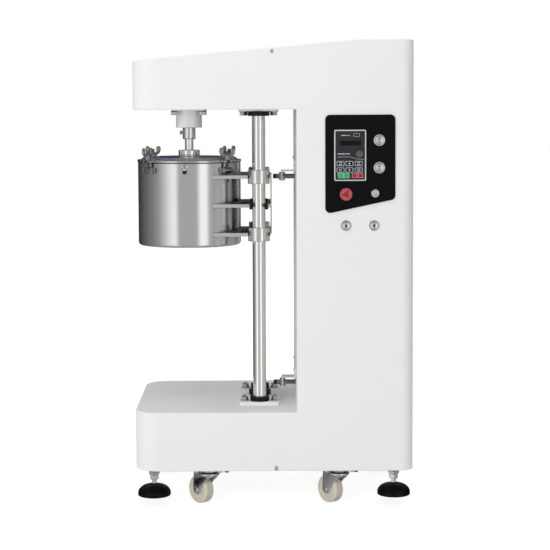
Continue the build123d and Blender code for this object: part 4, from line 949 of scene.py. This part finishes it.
class MILL_OT_lift(bpy.types.Operator):
    """Turn the pillars, collars, clamp rings, lift nut and lead screw."""

    bl_idname = "mill.lift"
    bl_label = "Lift"

    def execute(self, context):
        sizes = context.scene.mill_sizes
        pillars, collars, rings = Form(), Form(), Form()
        collar = Extent("guide_collars")
        bore, screw_bore = PILLARS.radius + 0.1, 9.3
        for y in PILLAR_YS:
            at = upright(LIFT[0], y)
            pillars.turn(stepped(wall(0.5, PILLARS.radius, BASE_TOP, HEAD_BOTTOM), 60.0), at, 96)
            for bottom in (collar.low[2], collar.high[2] - COLLAR_HEIGHT):
                corners = wall(bore, collar.radius, bottom, bottom + COLLAR_HEIGHT)
                collars.ring(corners, (0.5, 1.6, 1.6, 0.5), 4, at, 96)
            self.clamp(rings, at, bore, 22.0, FOOT_PLATE_TOP)
            self.clamp(rings, at, bore, 25.0, HEAD_PLATE_BOTTOM - RING_HEIGHT)
        centre = upright(LIFT[0], LIFT[1])
        for bottom in (FOOT_PLATE_TOP, HEAD_PLATE_BOTTOM - RING_HEIGHT):
            self.clamp(rings, centre, screw_bore, 26.0, bottom)
        pillars.piece("pillars_look", "cabinet", ("ground_steel",), ["guide_pillars"], "ground_steel")
        collars.piece("collars_look", "carrier", ("turned_steel",), ["guide_collars"], "turned_steel")
        rings.piece("rings_look", "cabinet", ("black_steel",), ["pillar_flanges"], "black_steel")

        node = Extent("lift_nut")
        nut, neck, step = Form(), node.radius * 0.82, node.low[2] + 6.0
        corners = [
            (screw_bore, node.low[2]), (neck, node.low[2]), (neck, step), (node.radius, step),
            (node.radius, node.high[2]), (screw_bore, node.high[2]),
        ]
        nut.ring(corners, 0.8, 4, centre, 72)
        nut.looks("lift_nut", "carrier", "black_steel")

        node = Extent("lead_screw")
        radius, pitch = node.radius, sizes.screw_pitch / MM
        profile = [(radius - 2.0, node.low[2]), (radius, node.low[2] + 2.0), (radius, node.high[2])]
        screw = Form()
        thread = threaded(sizes.screw_depth / MM, pitch, flat=True)
        screw.turn(stepped(profile, pitch / 14), centre, 36, thread)
        screw.looks("lead_screw", "lead_screw", "ground_steel", "turned_steel")
        return {"FINISHED"}

    def clamp(self, form, at, bore, radius, bottom):
        """A clamp ring with broken edges and a shallow groove round its wall."""
        top, mid = bottom + RING_HEIGHT, bottom + RING_HEIGHT * 0.55
        corners = [
            (bore, bottom), (radius, bottom), (radius, mid - 0.8), (radius - 0.7, mid), (radius, mid + 0.8),
            (radius, top), (bore, top),
        ]
        form.ring(corners, 0.9, 4, at, 80)


class MILL_OT_fasteners(bpy.types.Operator):
    """Shape the hexagon bolts and washers, the feet's lock nuts, the cover screws and the base's plugs."""

    bl_idname = "mill.fasteners"
    bl_label = "Fasteners"

    def execute(self, context):
        bolts = Form()
        washer_radius, washer_height = 9.5, 2.0
        low, top = FOOT_PLATE_TOP + washer_height, HEAD_PLATE_BOTTOM - washer_height
        for x in (LIFT[0] - PLATE_BOLT_REACH, LIFT[0] + PLATE_BOLT_REACH):
            for y in PILLAR_YS:
                at = upright(x, y)
                bolts.washer(at, washer_radius, BOLT_SHANK, FOOT_PLATE_TOP, low)
                bolts.hex_bolt(at, low, low + BOLT_HEAD + 4.0)
                bolts.washer(at, washer_radius, BOLT_SHANK, top, HEAD_PLATE_BOTTOM)
                bolts.hex_bolt(at, top - BOLT_HEAD, top + 12.0)
        flange = HEAD_BOTTOM - FLANGE_DROP
        under = flange - 1.6
        for sx, sy in CORNERS:
            at = upright(SPINDLE[0] + sx * FLANGE_BOLT_REACH, SPINDLE[1] + sy * FLANGE_BOLT_REACH)
            bolts.washer(at, 7.6, BOLT_SHANK, under, flange, finish=2)
            bolts.hex_bolt(at, under - BOLT_HEAD, under + 10.0, finish=1)
        for number in range(1, 5):
            foot = Extent(f"level_foot_{number}").centre
            for low, high in ((9.5, 0.0), (16.0, 9.8)):
                bolts.hex_head(upright(foot[0], foot[1]), 24.0, BASE_BOTTOM - low, BASE_BOTTOM - high)
        bolts.looks("hex_fasteners", "cabinet", "zinc", "bolt_zinc", "fitting_steel", "black_steel")
        self.screws()
        self.plugs()
        return {"FINISHED"}

    def screws(self):
        """Pan screws of the rear cover, the front, the right side and the column's face."""
        rear_y = Extent("rear_cover").high[1]
        right_x, column = SHELL.high[0], SHELL.low[0] + 368.0
        left_x, inner_x, outer_x = SHELL.low[0] + 75.0, column + 20.0, right_x - 47.0
        head_z, top_z = HEAD_BOTTOM + 20.0, SHELL.high[2] - 20.0
        slope = 44.5 / 505.0
        rear = [(left_x, 105.0), (inner_x, 105.0), (outer_x, 105.0), (left_x, BASE_TOP - 20.0)]
        rear += [(left_x, head_z), (LIFT[0], head_z), (outer_x, head_z), (outer_x, top_z)]
        rear += [(inner_x, top_z - 2.5 - slope * (190.0 - inner_x))]
        rear += [(x, z) for x in (inner_x, outer_x) for z in (BASE_TOP + 181.0, HEAD_BOTTOM - 250.0)]
        form = Form()
        for x, z in rear:
            form.cross_screw(place((x, rear_y, z), (0.0, 1.0, 0.0)), 4.0, 2.1)
        for x, z, radius in ((-1.0, SHELL.high[2] - 25.5, 4.6), (6.0, BASE_BOTTOM + 7.0, 5.4)):
            form.cross_screw(facing_front(x, z, FRONT_Y), radius, 1.8)
        for z in (HEAD_BOTTOM - 208.0, BASE_TOP + 287.0, BASE_TOP + 103.0):
            at = place((right_x - 1.2, FRONT_Y + 65.0, z), (1.0, 0.0, 0.0), (0.0, 1.0, 0.0))
            form.cross_screw(at, 4.0, 1.1)
        for z in (HEAD_BOTTOM - 119.0, BASE_TOP + 64.0, BASE_TOP + 32.0):
            at = place((column, SHELL.high[1] - 35.0, z), (-1.0, 0.0, 0.0), (0.0, 1.0, 0.0))
            form.cross_screw(at, 4.0, 2.1)
        form.looks("cover_screws", "cabinet", "zinc")

    def plugs(self):
        """Black rubber plugs under the base beside the casters, each a shallow dome."""
        form = Form()
        dome = [(0.5, -7.6), (4.6, -7.2), (6.6, -3.6), (6.6, 0.0), (0.5, 0.0)]
        for number, reach in ((1, 41.0), (2, 38.0), (3, 41.0), (4, 38.0)):
            x, y, _ = caster_swivel(number)
            at = upright(x + reach, y + math.copysign(17.0, y), BASE_BOTTOM)
            form.rounded(dome, (0, 2.4, 2.0, 0.2, 0), 5, at, 40)
        form.piece("base_plugs", "cabinet", ("knob_black",), slot="knob_black")


class MILL_OT_sensors(bpy.types.Operator):
    """Shape the two limit sensors: threaded body, dark tip and two nuts each."""

    bl_idname = "mill.sensors"
    bl_label = "Limit sensors"

    def execute(self, context):
        node = Extent("limit_sensors")
        low, high = node.low, node.high
        form = Form()
        flats = 19.0
        for z in (low[2] + flats / 2, high[2] - flats / 2):
            at = place((low[0], LIFT[1], z), (1.0, 0.0, 0.0), (0.0, 0.0, 1.0))
            form.rounded(wall(0.5, 5.6, 0.0, 8.0), (0, 0.8, 0.3, 0), 4, at, 40, finish=1)
            profile = [(5.3, 7.5), (5.9, 8.3), (5.9, high[0] - low[0])]
            form.turn(stepped(profile, 0.25), at, 32, threaded(0.55, 1.0))
            for start in (14.0, 22.0):
                form.hex_head(at, flats, start, start + 5.0)
            form.washer(at, flats / 2 / math.cos(math.pi / 6) * 0.95, 6.2, 27.0, 28.0)
        form.looks("limit_sensors", "cabinet", "sensor_metal", "sensor_metal", "knob_black")
        return {"FINISHED"}


def upright_like(plane):
    """The same frame as an upright plane's, turned so that its local Z points up instead of across."""
    return lambda local: plane(np.stack([local[..., 0], local[..., 2], -local[..., 1]], axis=-1))


def caster_swivel(number):
    """The swivel axis of a caster: the trail carries the wheel off it in the direction of the fork's turn."""
    turn = math.radians(CASTER_TURNS[number - 1])
    wheel = Extent(f"caster_wheel_{number}").centre
    return wheel - np.array([math.cos(turn), math.sin(turn), 0.0]) * WHEEL_TRAIL


class MILL_OT_casters(bpy.types.Operator):
    """Shape the casters: top plates, pressed forks with their axle bolts, and nylon wheels."""

    bl_idname = "mill.casters"
    bl_label = "Casters"

    def execute(self, context):
        plates = Form()
        for number in range(1, 5):
            x, y, _ = caster_swivel(number)
            plane = standing(x, y, math.radians(CASTER_TURNS[number - 1]))
            axle = shifted(plane, WHEEL_TRAIL, WHEEL_RADIUS, 0.0)
            self.top_plate(plates, upright(x, y, BASE_BOTTOM))
            self.fork(f"caster_fork_{number}", upright(x, y), plane, axle)
            self.wheel(f"caster_wheel_{number}", axle)
        plates.looks("caster_plates", "cabinet", "zinc")
        return {"FINISHED"}

    def top_plate(self, form, at):
        """A pressed plate with the fixed half of the raceway, its king pin and four bolt heads."""
        form.plate(box_outline(70.0, 55.0, 5.0), -2.5, 0.0, at, 0.8)
        race = [(0.5, -10.2), (17.0, -10.2), (20.0, -8.6), (23.0, -5.0), (23.0, -2.0), (0.5, -2.0)]
        form.rounded(race, 1.6, 4, at, 72)
        pin = [(0.5, -23.0), (7.0, -23.0), (9.0, -21.5), (9.0, -20.0), (6.0, -20.0), (6.0, -8.0), (0.5, -8.0)]
        form.rounded(pin, 0.6, 4, at, 48)
        for sx, sy in CORNERS:
            form.hex_head(shifted(at, sx * 28.0, sy * 20.5, 0.0), 8.0, -6.5, -2.4)

    def fork(self, name, at, plane, axle):
        """A pressed fork: two bent legs, a crown with the turning half of the raceway, and the axle."""
        form = Form()
        top, bore, trail = 74.2, 6.2, WHEEL_TRAIL
        crown = [
            (bore, top), (24.0, top), (24.6, top - 2.4), (22.0, top - 6.0), (15.0, top - 7.0), (bore, top - 3.0),
        ]
        form.ring(crown, (0.4, 0.8, 1.2, 2.0, 2.0, 0.4), 5, at, 72)
        corners = [
            (-16.0, 72.5), (-13.0, 64.0), (2.0, 53.0), (trail - 13.0, 36.0), (trail - 11.0, 24.0),
            (trail, 20.5), (trail + 10.5, 26.0), (trail + 10.5, 48.0), (trail + 9.0, 72.5),
        ]
        outline = softened(corners, (2.0, 6.0, 10.0, 8.0, 7.0, 7.0, 8.0, 12.0, 2.0), 6, closed=True)
        form.plate(box_outline(51.0, 21.0, 1.0, (11.0, 0.0)), 70.0, 72.5, upright_like(plane), 0.5)
        for side in (-1, 1):
            form.plate(outline, side * 13.0, side * 15.5, plane, 0.8)
            self.shoulder(form, plane, side)
            head = [(0.4, 16.9), (3.6, 16.8), (5.4, 15.8), (5.4, 15.4), (0.4, 15.4)]
            form.rounded(np.array(head) * (1, side), 0.6, 4, axle, 40)
        form.turn([(3.9, -15.6), (3.9, 15.6)], axle, 24)
        form.looks(name, name, "zinc")

    def shoulder(self, form, plane, side):
        """The bend between leg and crown: a quarter circle of sheet carried along the leg's top edge."""
        outer, inner = (arc(radius, 0.0, QUARTER, 8, (10.0, 67.0)) for radius in (5.5, 3.0))
        section = np.concatenate([outer, inner[::-1]])[::-side]
        reach = np.linspace(-14.5, WHEEL_TRAIL + 8.5, 8)
        rings = [table(x, section[:, 1], side * section[:, 0]) for x in reach]
        form.loft(plane(np.array(rings)))

    def wheel(self, name, axle):
        """A nylon wheel: round tread shoulders, a sunk web on both faces and a hub about the axle."""
        half, tread = 12.0, WHEEL_RADIUS
        one_side = [
            (4.3, half), (8.5, half), (9.5, half - 1.8), (20.5, half - 1.8), (22.5, half - 0.4),
            (tread - 2.0, half - 0.4), (tread, half - 2.4),
        ]
        corners = one_side + [(r, -h) for r, h in one_side[::-1]]
        radii = (0.4, 0.6, 0.8, 0.8, 0.8, 2.4, 2.4)
        form = Form()
        form.ring(corners, radii + radii[::-1], 4, axle, 96)
        form.looks(name, name, "wheel_nylon")


class MILL_OT_feet(bpy.types.Operator):
    """Turn the four levelling feet: domed disc, hexagon neck and threaded spindle."""

    bl_idname = "mill.feet"
    bl_label = "Levelling feet"

    def execute(self, context):
        for number in range(1, 5):
            name = f"level_foot_{number}"
            node = Extent(name)
            radius, height = node.radius, node.high[2] - node.low[2]
            at = upright(node.centre[0], node.centre[1], node.low[2])
            dome = arc(1.0, 0.0, QUARTER, 16) * (radius - 10.0, 19.6) + (10.0, 6.0)
            corners = np.concatenate([
                [(0.5, 0.0), (radius - 1.4, 0.0), (radius, 1.4)], dome, [(8.4, 26.2), (7.6, 27.6), (0.5, 27.6)],
            ])
            form = Form()
            form.turn(corners, at, 96, finish=1)
            form.hex_head(at, 11.0, 27.4, 37.0)
            form.hex_head(at, 19.0, 37.0, 48.4)
            form.thread([(5.0, 33.0), (5.0, height - 1.0), (4.0, height)], at)
            form.looks(name, name, "foot_black", "zinc", "foot_black")
        return {"FINISHED"}


class MILL_OT_keypad(bpy.types.Operator):
    """Dress the keypad: window, printed marks, film keys' frames, hard keys and speed knob."""

    bl_idname = "mill.keypad"
    bl_label = "Keypad"

    def execute(self, context):
        corner = FACE.low - 2.8
        face = FACE.high[1] - 5.5
        at = facing_front(corner[0], corner[2], face)
        self.marks(at, context.scene.mill_sizes.label_height / MM)

        window = Form()
        window.plate(box_outline(46.6, 10.1, 0.8, (36.4, 84.3)), -0.95, -0.35, at, 0.15)
        window.piece("keypad_window", "cabinet", ("window_black",), slot="black_panel")

        trim, node = Form(), Extent("keypad_frame")
        (width, _, height), centre = node.high - node.low, node.centre - corner
        outer = box_outline(width - 0.8, height - 0.8, 3.6, (centre[0], centre[2]))
        rim, front, back = 2.5, face - node.low[1], face - PANEL_FRONT + 0.05
        for width, start, end in ((rim, back, front - 0.5), (rim - 0.5, front - 0.6, front)):
            trim.band(drawn_in(outer, (rim - width) / 2), width, start, end, at)
        trim.looks("keypad_frame", "cabinet", "silver_trim")

        for name, colour in (("start_key", "green"), ("stop_key", "red")):
            self.key(name, colour)
        self.knob(face)
        return {"FINISHED"}

    def marks(self, at, height):
        """Six film keys in silver frames with plain symbols, strokes for the lettering and a swept line."""
        columns, rows = (14.3, 34.0, 54.5), (39.0, 24.5)
        key_top, sunk = 0.6, 0.05
        marks = Form()

        def printed(outline, level):
            marks.plate(outline, level - sunk, level + height, at, 0.05)

        for x in columns:
            for z in rows:
                marks.band(box_outline(16.6, 10.6, 1.6, (x, z)), 0.95, key_top - sunk, key_top + height, at)
                key = box_outline(14.6, 8.6, 1.0, (x, z))
                marks.plate(key, key_top - sunk, key_top + sunk, at, 0.04, finish=1)
        for z, up in ((rows[0], 1), (rows[1], -1)):
            arrow = np.array([(-3.1, -1.5 * up), (3.1, -1.5 * up), (0.0, 2.3 * up)])[::up]
            printed(softened(arrow + (columns[1], z), 0.4, 3, closed=True), key_top)
        for x, z in ((columns[0], rows[0]), (columns[2], rows[0]), (columns[2], rows[1])):
            for offset in (-1.9, 1.9):
                printed(box_outline(7.4, 1.3, 0.4, (x, z + offset)), key_top)
        chevron = np.array([(-1.4, 2.6), (-1.4, 1.4), (0.6, 0.0), (-1.4, -1.4), (-1.4, -2.6), (1.8, 0.0)])
        for offset in (-2.2, 1.4):
            printed(chevron + (columns[0] + offset, rows[1]), key_top)
        printed(box_outline(11.5, 1.4, 0.4, (21.0, 101.2)), 0.0)
        printed(box_outline(8.0, 1.0, 0.4, (31.5, 101.0)), 0.0)
        marks.band(box_outline(13.5, 7.0, 0.8, (50.0, 102.2)), 0.5, -sunk, height, at)
        printed(box_outline(17.0, 1.7, 0.5, (16.6, 60.2)), 0.0)
        printed(box_outline(9.0, 1.5, 0.5, (31.0, 60.4)), 0.0)
        s = np.linspace(0.0, 1.0, 40)
        sweep = table(8.0 + 58.0 * s, 53.4 - 6.6 / (1.0 + np.exp(-(s - 0.62) * 14.0)) + 1.6 * s, 0.0)
        marks.tube(at(sweep), 0.35, (0.0, 1.0, 0.0), 8)
        marks.piece("keypad_marks", "cabinet", ("print_grey", "key_black"), slot="silver_trim")

    def key(self, name, colour):
        """A hard key with a printed frame round a bar (start) or a ring (stop)."""
        node = Extent(name)
        width, top, height = node.high - node.low
        spot = facing_front(node.centre[0], node.centre[2], node.high[1])
        outline = box_outline(width, height, 2.0)
        key = Form()
        key.plate(outline, 0.0, top - 0.1, spot, 0.8)
        key.band(drawn_in(outline, 1.6), 0.7, top - 0.2, top, spot, finish=1)
        if name == "start_key":
            key.plate(box_outline(1.7, 5.2, 0.5), top - 0.2, top, spot, 0.04, finish=1)
        else:
            key.band(circle(2.7, 40), 0.9, top - 0.2, top, spot, finish=1)
        key.looks(name, name, f"{colour}_key", f"{colour}_key", f"{colour}_print")

    def knob(self, face):
        """The ribbed speed knob with its pointer and its shaft."""
        node = Extent("speed_knob")
        spot = facing_front(node.centre[0], node.centre[2])
        front, back, radius = -node.low[1], -(face - 0.5), node.radius
        skirt = [(0.5, back), (radius, back), (radius * 0.94, front), (0.5, front)]
        knob = Form()
        knob.rounded(skirt, (0, 0.5, 1.3, 0), 5, spot, 120, ribbed(30, 0.35))
        knob.turn([(3.0, -node.high[1]), (3.0, back + 1.0)], spot, 24)
        pointer = box_outline(1.1, radius * 0.62, 0.4, (0.0, radius * 0.45))
        knob.plate(pointer, front - 0.4, front, spot, 0.04, finish=1)
        knob.looks("speed_knob", "speed_knob", "knob_black", "knob_grey", "print_grey")


class MILL_OT_buttons(bpy.types.Operator):
    """Shape the push buttons and bezels, the emergency stop and the mode switch."""

    bl_idname = "mill.buttons"
    bl_label = "Buttons"

    def execute(self, context):
        bezels = Form()
        for name, bezel in (
            ("power_button", 13.3), ("light_button", 13.3), ("raise_button", 12.0), ("lower_button", 12.0),
        ):
            self.button(name, bezel, bezels)
        node = Extent("emergency_stop")
        spot = facing_front(node.centre[0], node.centre[2])
        level, bore = -PANEL_FRONT, 7.2
        collar = [(bore, level), (11.5, level), (11.5, level + 2.0), (10.6, level + 3.0), (bore, level + 3.0)]
        bezels.ring(collar, 0.7, 4, spot, 72)
        bezels.turn(wall(bore, 10.9, level - 22.0, level + 1.0), spot, 40, closed=True)
        bezels.looks("button_bezels", "cabinet", "button_steel")
        self.stop(node, spot)
        self.switch(Extent("mode_switch"))
        return {"FINISHED"}

    def button(self, name, bezel, bezels):
        """A cap with a sunk dish and a raised mark, in a turned bezel with a cone-shaped lip."""
        node = Extent(name)
        front, back, radius, bore = -node.low[1], -node.high[1], node.radius, 9.6
        face = front - 4.5
        spot = facing_front(node.centre[0], node.centre[2])
        lip = [(bore, face), (bezel, face), (bezel, face + 1.2), (bezel - 2.0, face + 3.0), (bore, face + 2.2)]
        bezels.ring(lip, 0.7, 4, spot, 96)
        bezels.turn(wall(bore, 10.9, face - 22.0, face + 0.5), spot, 40, closed=True)
        cap, rim = Form(), front - 0.1
        side = softened([(0.5, back), (radius, back), (radius, rim), (radius - 0.6, rim)], (0, 0.3, 0.5, 0), 5)
        reach = np.arange(radius - 0.7, 0.4, -0.1)
        groove = 0.13 * (0.5 - 0.5 * np.cos(FULL_TURN * reach / 0.8))
        dish = table(reach, rim - groove - 0.5 * (1.0 - (reach / radius) ** 2))
        cap.turn(np.concatenate([side, dish]), spot, 72)
        low, high = front - 1.0, front - 0.3
        if name in ("raise_button", "lower_button"):
            up = 1 if name == "raise_button" else -1
            arrow = np.array([(-4.0, -2.4 * up), (4.0, -2.4 * up), (0.0, 4.2 * up)])[::up]
            cap.plate(softened(arrow, 0.8, 4, closed=True), low, high, spot, 0.2, finish=1)
        else:
            cap.band(circle(4.2, 48), 1.0, low, high, spot, finish=1)
            cap.plate(box_outline(1.1, 4.0, 0.5, (0.0, 2.4)), low, high + 0.1, spot, 0.1, finish=1)
        cap.looks(name, name, "button_steel", "cap_steel", "black_steel")

    def stop(self, node, spot):
        """A mushroom head whose dished face carries three turning arrows."""
        front, radius, sweep = -node.low[1], node.radius, math.radians(62.0)
        form = Form()
        head = [
            (0.5, front - 11.0), (radius - 2.0, front - 11.0), (radius, front - 8.5),
            (radius - 0.4, front - 4.5), (radius - 4.0, front), (6.0, front - 0.4), (0.5, front - 1.4),
        ]
        form.rounded(head, (0, 1.0, 2.0, 2.4, 2.4, 2.0, 0), 6, spot, 96)
        form.turn([(7.0, -node.high[1]), (7.0, front - 10.5)], spot, 48)
        form.band(circle(12.4, 96), 1.3, front - 1.8, front - 0.25, spot, finish=1)
        for start in np.radians((80.0, 200.0, 320.0)):
            end = start + sweep
            shaft = np.concatenate([arc(8.9, start, end, 16), arc(6.9, end, start, 16)])
            radial = np.array([math.cos(end), math.sin(end)])
            ahead = np.array([-math.sin(end), math.cos(end)])
            for outline in (shaft, np.array([radial * 5.6, radial * 10.2, radial * 7.9 + ahead * 3.4])):
                form.plate(outline, front - 0.6, front, spot, 0.1, finish=1)
        form.looks("emergency_stop", "emergency_stop", "stop_red", "stop_red", "stop_print")

    def switch(self, node):
        """A turned knob with a grip bar across its face and a pointer line on the bar."""
        x, _, z = node.centre
        radius, front, back = node.radius, -node.low[1], -(PANEL_FRONT - 0.5)
        spot, grip = facing_front(x, z), facing_front(x, z, turn=0.7)
        form = Form()
        skirt = [
            (0.5, back), (radius, back), (radius, back + 3.2), (radius - 1.6, back + 5.4), (0.5, back + 5.4),
        ]
        form.rounded(skirt, (0, 0.5, 0.8, 0.8, 0), 4, spot, 96, ribbed(36, 0.18))
        form.plate(box_outline(5.6, 2 * radius - 3.6, 2.6), back + 4.8, front, grip, 1.4, steps=6)
        pointer = box_outline(0.9, 5.0, 0.4, (0.0, -radius * 0.45))
        form.plate(pointer, front - 0.3, front, grip, 0.04, finish=1)
        form.turn([(3.0, -node.high[1]), (3.0, back + 1.0)], spot, 24)
        form.looks("mode_switch", "mode_switch", "button_steel", "button_steel", "knob_black")


# What shiny surfaces see at eye level, by the angle from the camera's side: (degrees, brightness)
STUDIO_LEVELS = (
    (-180, 0.03), (-162, 0.03), (-138, 0.07), (-122, 0.135), (-110, 0.185), (-89, 0.29), (-71, 0.44),
    (-63, 0.61), (-55, 0.8), (-48, 1.02), (-40, 1.25), (-29, 1.4), (-24, 0.57), (18, 0.57), (24, 1.45),
    (40, 1.45), (44, 0.62), (59, 0.48), (76, 0.39), (85, 0.27), (95, 0.16), (107, 0.06), (120, 0.02),
    (180, 0.03),
)
CEILING_LEVEL, CEILING_FROM, CEILING_TO = 0.38, 9.0, 38.0
GROUND_LEVEL, GROUND_FROM, GROUND_TO = 0.45, 18.0, 50.0
STUDIO_RADIUS, STUDIO_HEIGHT = 6.0, 0.6
FLOOR_REACH, FLOOR_GLOW, FLOOR_SHARE = 14.0, 1.66, 0.5
# Each lamp: its place, what it is turned to, and its width and height, in metres
LAMPS = {
    "key": ((-1.5, -4.1, 1.5), (0.0, 0.0, 0.55), (3.2, 2.0)),
    "top": ((0.2, -0.6, 3.4), (0.0, 0.0, 0.6), (2.4, 2.0)),
    "side": ((-3.4, -0.9, 1.3), (0.0, 0.0, 0.6), (2.0, 1.6)),
    "back": ((1.2, 4.0, 1.8), (0.0, 0.0, 0.55), (3.0, 2.4)),
}
PICTURE_SHIFT = (8.86 / 550, -45.59 / 550)


def smooth_step(value, start, end):
    """0 before the start, 1 past the end, and 3 s^2 - 2 s^3 between."""
    s = np.clip((value - start) / (end - start), 0.0, 1.0)
    return s * s * (3.0 - 2.0 * s)


def turned(spot, axes):
    """The matrix of an object at a spot, from its own X, Y and Z."""
    return Matrix.Translation(spot) @ Matrix(np.stack(axes, axis=1).tolist()).to_4x4()


class MILL_OT_stage(bpy.types.Operator):
    """Make the floor, the reflected studio wall, the lamps, the world and the camera."""

    bl_idname = "mill.stage"
    bl_label = "Stage"

    def execute(self, context):
        scene = context.scene
        stage = scene.mill_stage
        scene.view_settings.view_transform = "Standard"
        self.floor(scene)
        self.studio(scene)
        self.world(scene, stage)
        for name, row in LAMPS.items():
            self.lamp(scene, f"{name}_light", getattr(stage, f"{name}_power"), *row)
        self.camera(scene, stage)
        return {"FINISHED"}

    def sheet(self, scene, name, points, faces):
        """A mesh of the stage, not of the machine."""
        mesh = bpy.data.meshes.new(name)
        mesh.from_pydata(points, [], faces)
        made = bpy.data.objects.new(name, mesh)
        scene.collection.objects.link(made)
        return made

    def floor(self, scene):
        """A wide pale floor. The camera and mirrors see it mostly as even white, with the object's shadow."""
        corners = [(sx * FLOOR_REACH, sy * FLOOR_REACH, 0.0) for sx, sy in ((-1, -1), (1, -1), (1, 1), (-1, 1))]
        floor = self.sheet(scene, "floor", corners, [(0, 1, 2, 3)])
        tree = material_tree("floor")
        share = tree.seen() * FLOOR_SHARE
        matt = tree.read("ShaderNodeBsdfDiffuse", {"Color": (*scene.mill_colours.floor, 1.0)})
        glow = tree.read("ShaderNodeEmission", {"Color": WHITE, "Strength": FLOOR_GLOW})
        floor.data.materials.append(tree.finish(tree.read("ShaderNodeMixShader", {0: share, 1: matt, 2: glow})))
        floor.visible_glossy = False

    def studio(self, scene):
        """A round studio that only shiny surfaces see. At eye level its light follows STUDIO_LEVELS round the
        room; with height it passes to the ceiling's, and with depth to the ground's, each by a smooth step."""
        columns = np.arange(0.0, 360.0, 2.0) - 180.0
        rows = np.concatenate(
            [np.arange(-88.0, -20.0, 6.0), np.arange(-20.0, 44.0, 2.0), np.arange(44.0, 89.0, 6.0)]
        )
        turn, rise = np.radians(columns)[None, :], np.radians(rows)[:, None]
        sphere = np.stack(
            [np.sin(turn) * np.cos(rise), -np.cos(turn) * np.cos(rise), np.sin(rise) + 0 * turn], axis=-1
        )
        points = (sphere * STUDIO_RADIUS + (0.0, 0.0, STUDIO_HEIGHT)).reshape(-1, 3)
        index = np.arange(len(points)).reshape(len(rows), len(columns))
        beside = np.roll(index, -1, 1)
        faces = np.stack([index[:-1], beside[:-1], beside[1:], index[1:]], axis=-1).reshape(-1, 4).tolist()
        faces += [index[0][::-1].tolist(), index[-1].tolist()]
        studio = self.sheet(scene, "studio", points, faces)

        levels = np.interp(columns, *zip(*STUDIO_LEVELS))[None, :] + 0 * rise
        up = smooth_step(rows, CEILING_FROM, CEILING_TO)[:, None]
        down = smooth_step(-rows, GROUND_FROM, GROUND_TO)[:, None]
        levels = levels * (1 - up) * (1 - down) + CEILING_LEVEL * up + GROUND_LEVEL * down
        light = studio.data.attributes.new("light", "FLOAT", "POINT")
        light.data.foreach_set("value", levels.ravel().astype(np.float32))
        tree = material_tree("studio")
        level = tree.read("ShaderNodeAttribute", output="Fac", attribute_name="light")
        studio.data.materials.append(
            tree.finish(tree.read("ShaderNodeEmission", {"Color": WHITE, "Strength": level}))
        )
        studio.visible_camera = False
        studio.visible_diffuse = False
        studio.visible_shadow = False
        studio.visible_transmission = False

    def world(self, scene, stage):
        """White where the camera or a mirror looks past the object, and an even dim light for the rest."""
        tree = Tree(bpy.data.worlds.new("studio"))
        sockets = {"Value": tree.seen(), "To Min": stage.ambient, "To Max": 1.0}
        strength = tree.read("ShaderNodeMapRange", sockets)
        light = tree.read("ShaderNodeBackground", {"Color": WHITE, "Strength": strength})
        scene.world = tree.finish(light, "World")

    def lamp(self, scene, name, power, spot, target, size):
        """A large area light at a spot, turned to a target; mirrors see the studio wall in its place."""
        data = bpy.data.lights.new(name, "AREA")
        data.shape = "RECTANGLE"
        data.size, data.size_y = size
        data.energy = power
        made = bpy.data.objects.new(name, data)
        scene.collection.objects.link(made)
        made.visible_glossy = False
        back = unit(np.array(spot) - np.array(target))
        across = unit(np.cross((0.0, 0.0, 1.0), back))
        made.matrix_world = turned(spot, [across, np.cross(back, across), back])

    def camera(self, scene, stage):
        """The camera at the photograph's angle: it looks along +Y and down by its pitch, and rolls a little."""
        data = bpy.data.cameras.new("camera")
        data.sensor_width = 36.0
        data.lens = stage.focal_length
        data.shift_x, data.shift_y = PICTURE_SHIFT
        data.clip_end = 100.0
        camera = bpy.data.objects.new("camera", data)
        scene.collection.objects.link(camera)
        pitch, roll = stage.camera_pitch, stage.camera_roll
        ahead = np.array([0.0, math.cos(pitch), -math.sin(pitch)])
        right = np.array([1.0, 0.0, 0.0])
        up = np.cross(right, ahead)
        rolled = [math.cos(roll) * right + math.sin(roll) * up, -math.sin(roll) * right + math.cos(roll) * up]
        camera.matrix_world = turned(tuple(stage.camera_place), [*rolled, -ahead])
        scene.camera = camera


STEPS = (
    MILL_OT_finishes,
    MILL_OT_jar,
    MILL_OT_lid,
    MILL_OT_carrier,
    MILL_OT_lid_fittings,
    MILL_OT_swing_bolts,
    MILL_OT_spindle,
    MILL_OT_lift,
    MILL_OT_fasteners,
    MILL_OT_sensors,
    MILL_OT_casters,
    MILL_OT_feet,
    MILL_OT_keypad,
    MILL_OT_buttons,
    MILL_OT_stage,
)


class MILL_PT_panel(bpy.types.Panel):
    """The mill's sizes, colours and steps in the sidebar."""

    bl_idname = "MILL_PT_panel"
    bl_label = "Stirred ball mill"
    bl_space_type = "VIEW_3D"
    bl_region_type = "UI"
    bl_category = "Mill"

    def draw(self, context):
        scene = context.scene
        for group in (scene.mill_sizes, scene.mill_colours, scene.mill_stage):
            box = self.layout.box()
            for name in group.bl_rna.properties.keys():
                if name not in ("rna_type", "name"):
                    box.prop(group, name)
        for step in STEPS:
            self.layout.operator(step.bl_idname)


GROUPS = {"mill_sizes": MillSizes, "mill_colours": MillColours, "mill_stage": MillStage}


def register():
    for made in (*GROUPS.values(), *STEPS, MILL_PT_panel):
        bpy.utils.register_class(made)
    for name, group in GROUPS.items():
        setattr(bpy.types.Scene, name, bpy.props.PointerProperty(type=group))


def unregister():
    for name in GROUPS:
        delattr(bpy.types.Scene, name)
    for made in reversed((*GROUPS.values(), *STEPS, MILL_PT_panel)):
        bpy.utils.unregister_class(made)


def main():
    """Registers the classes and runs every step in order."""
    register()
    for step in STEPS:
        group, name = step.bl_idname.split(".")
        getattr(getattr(bpy.ops, group), name)()


if __name__ == "__main__":
    main()
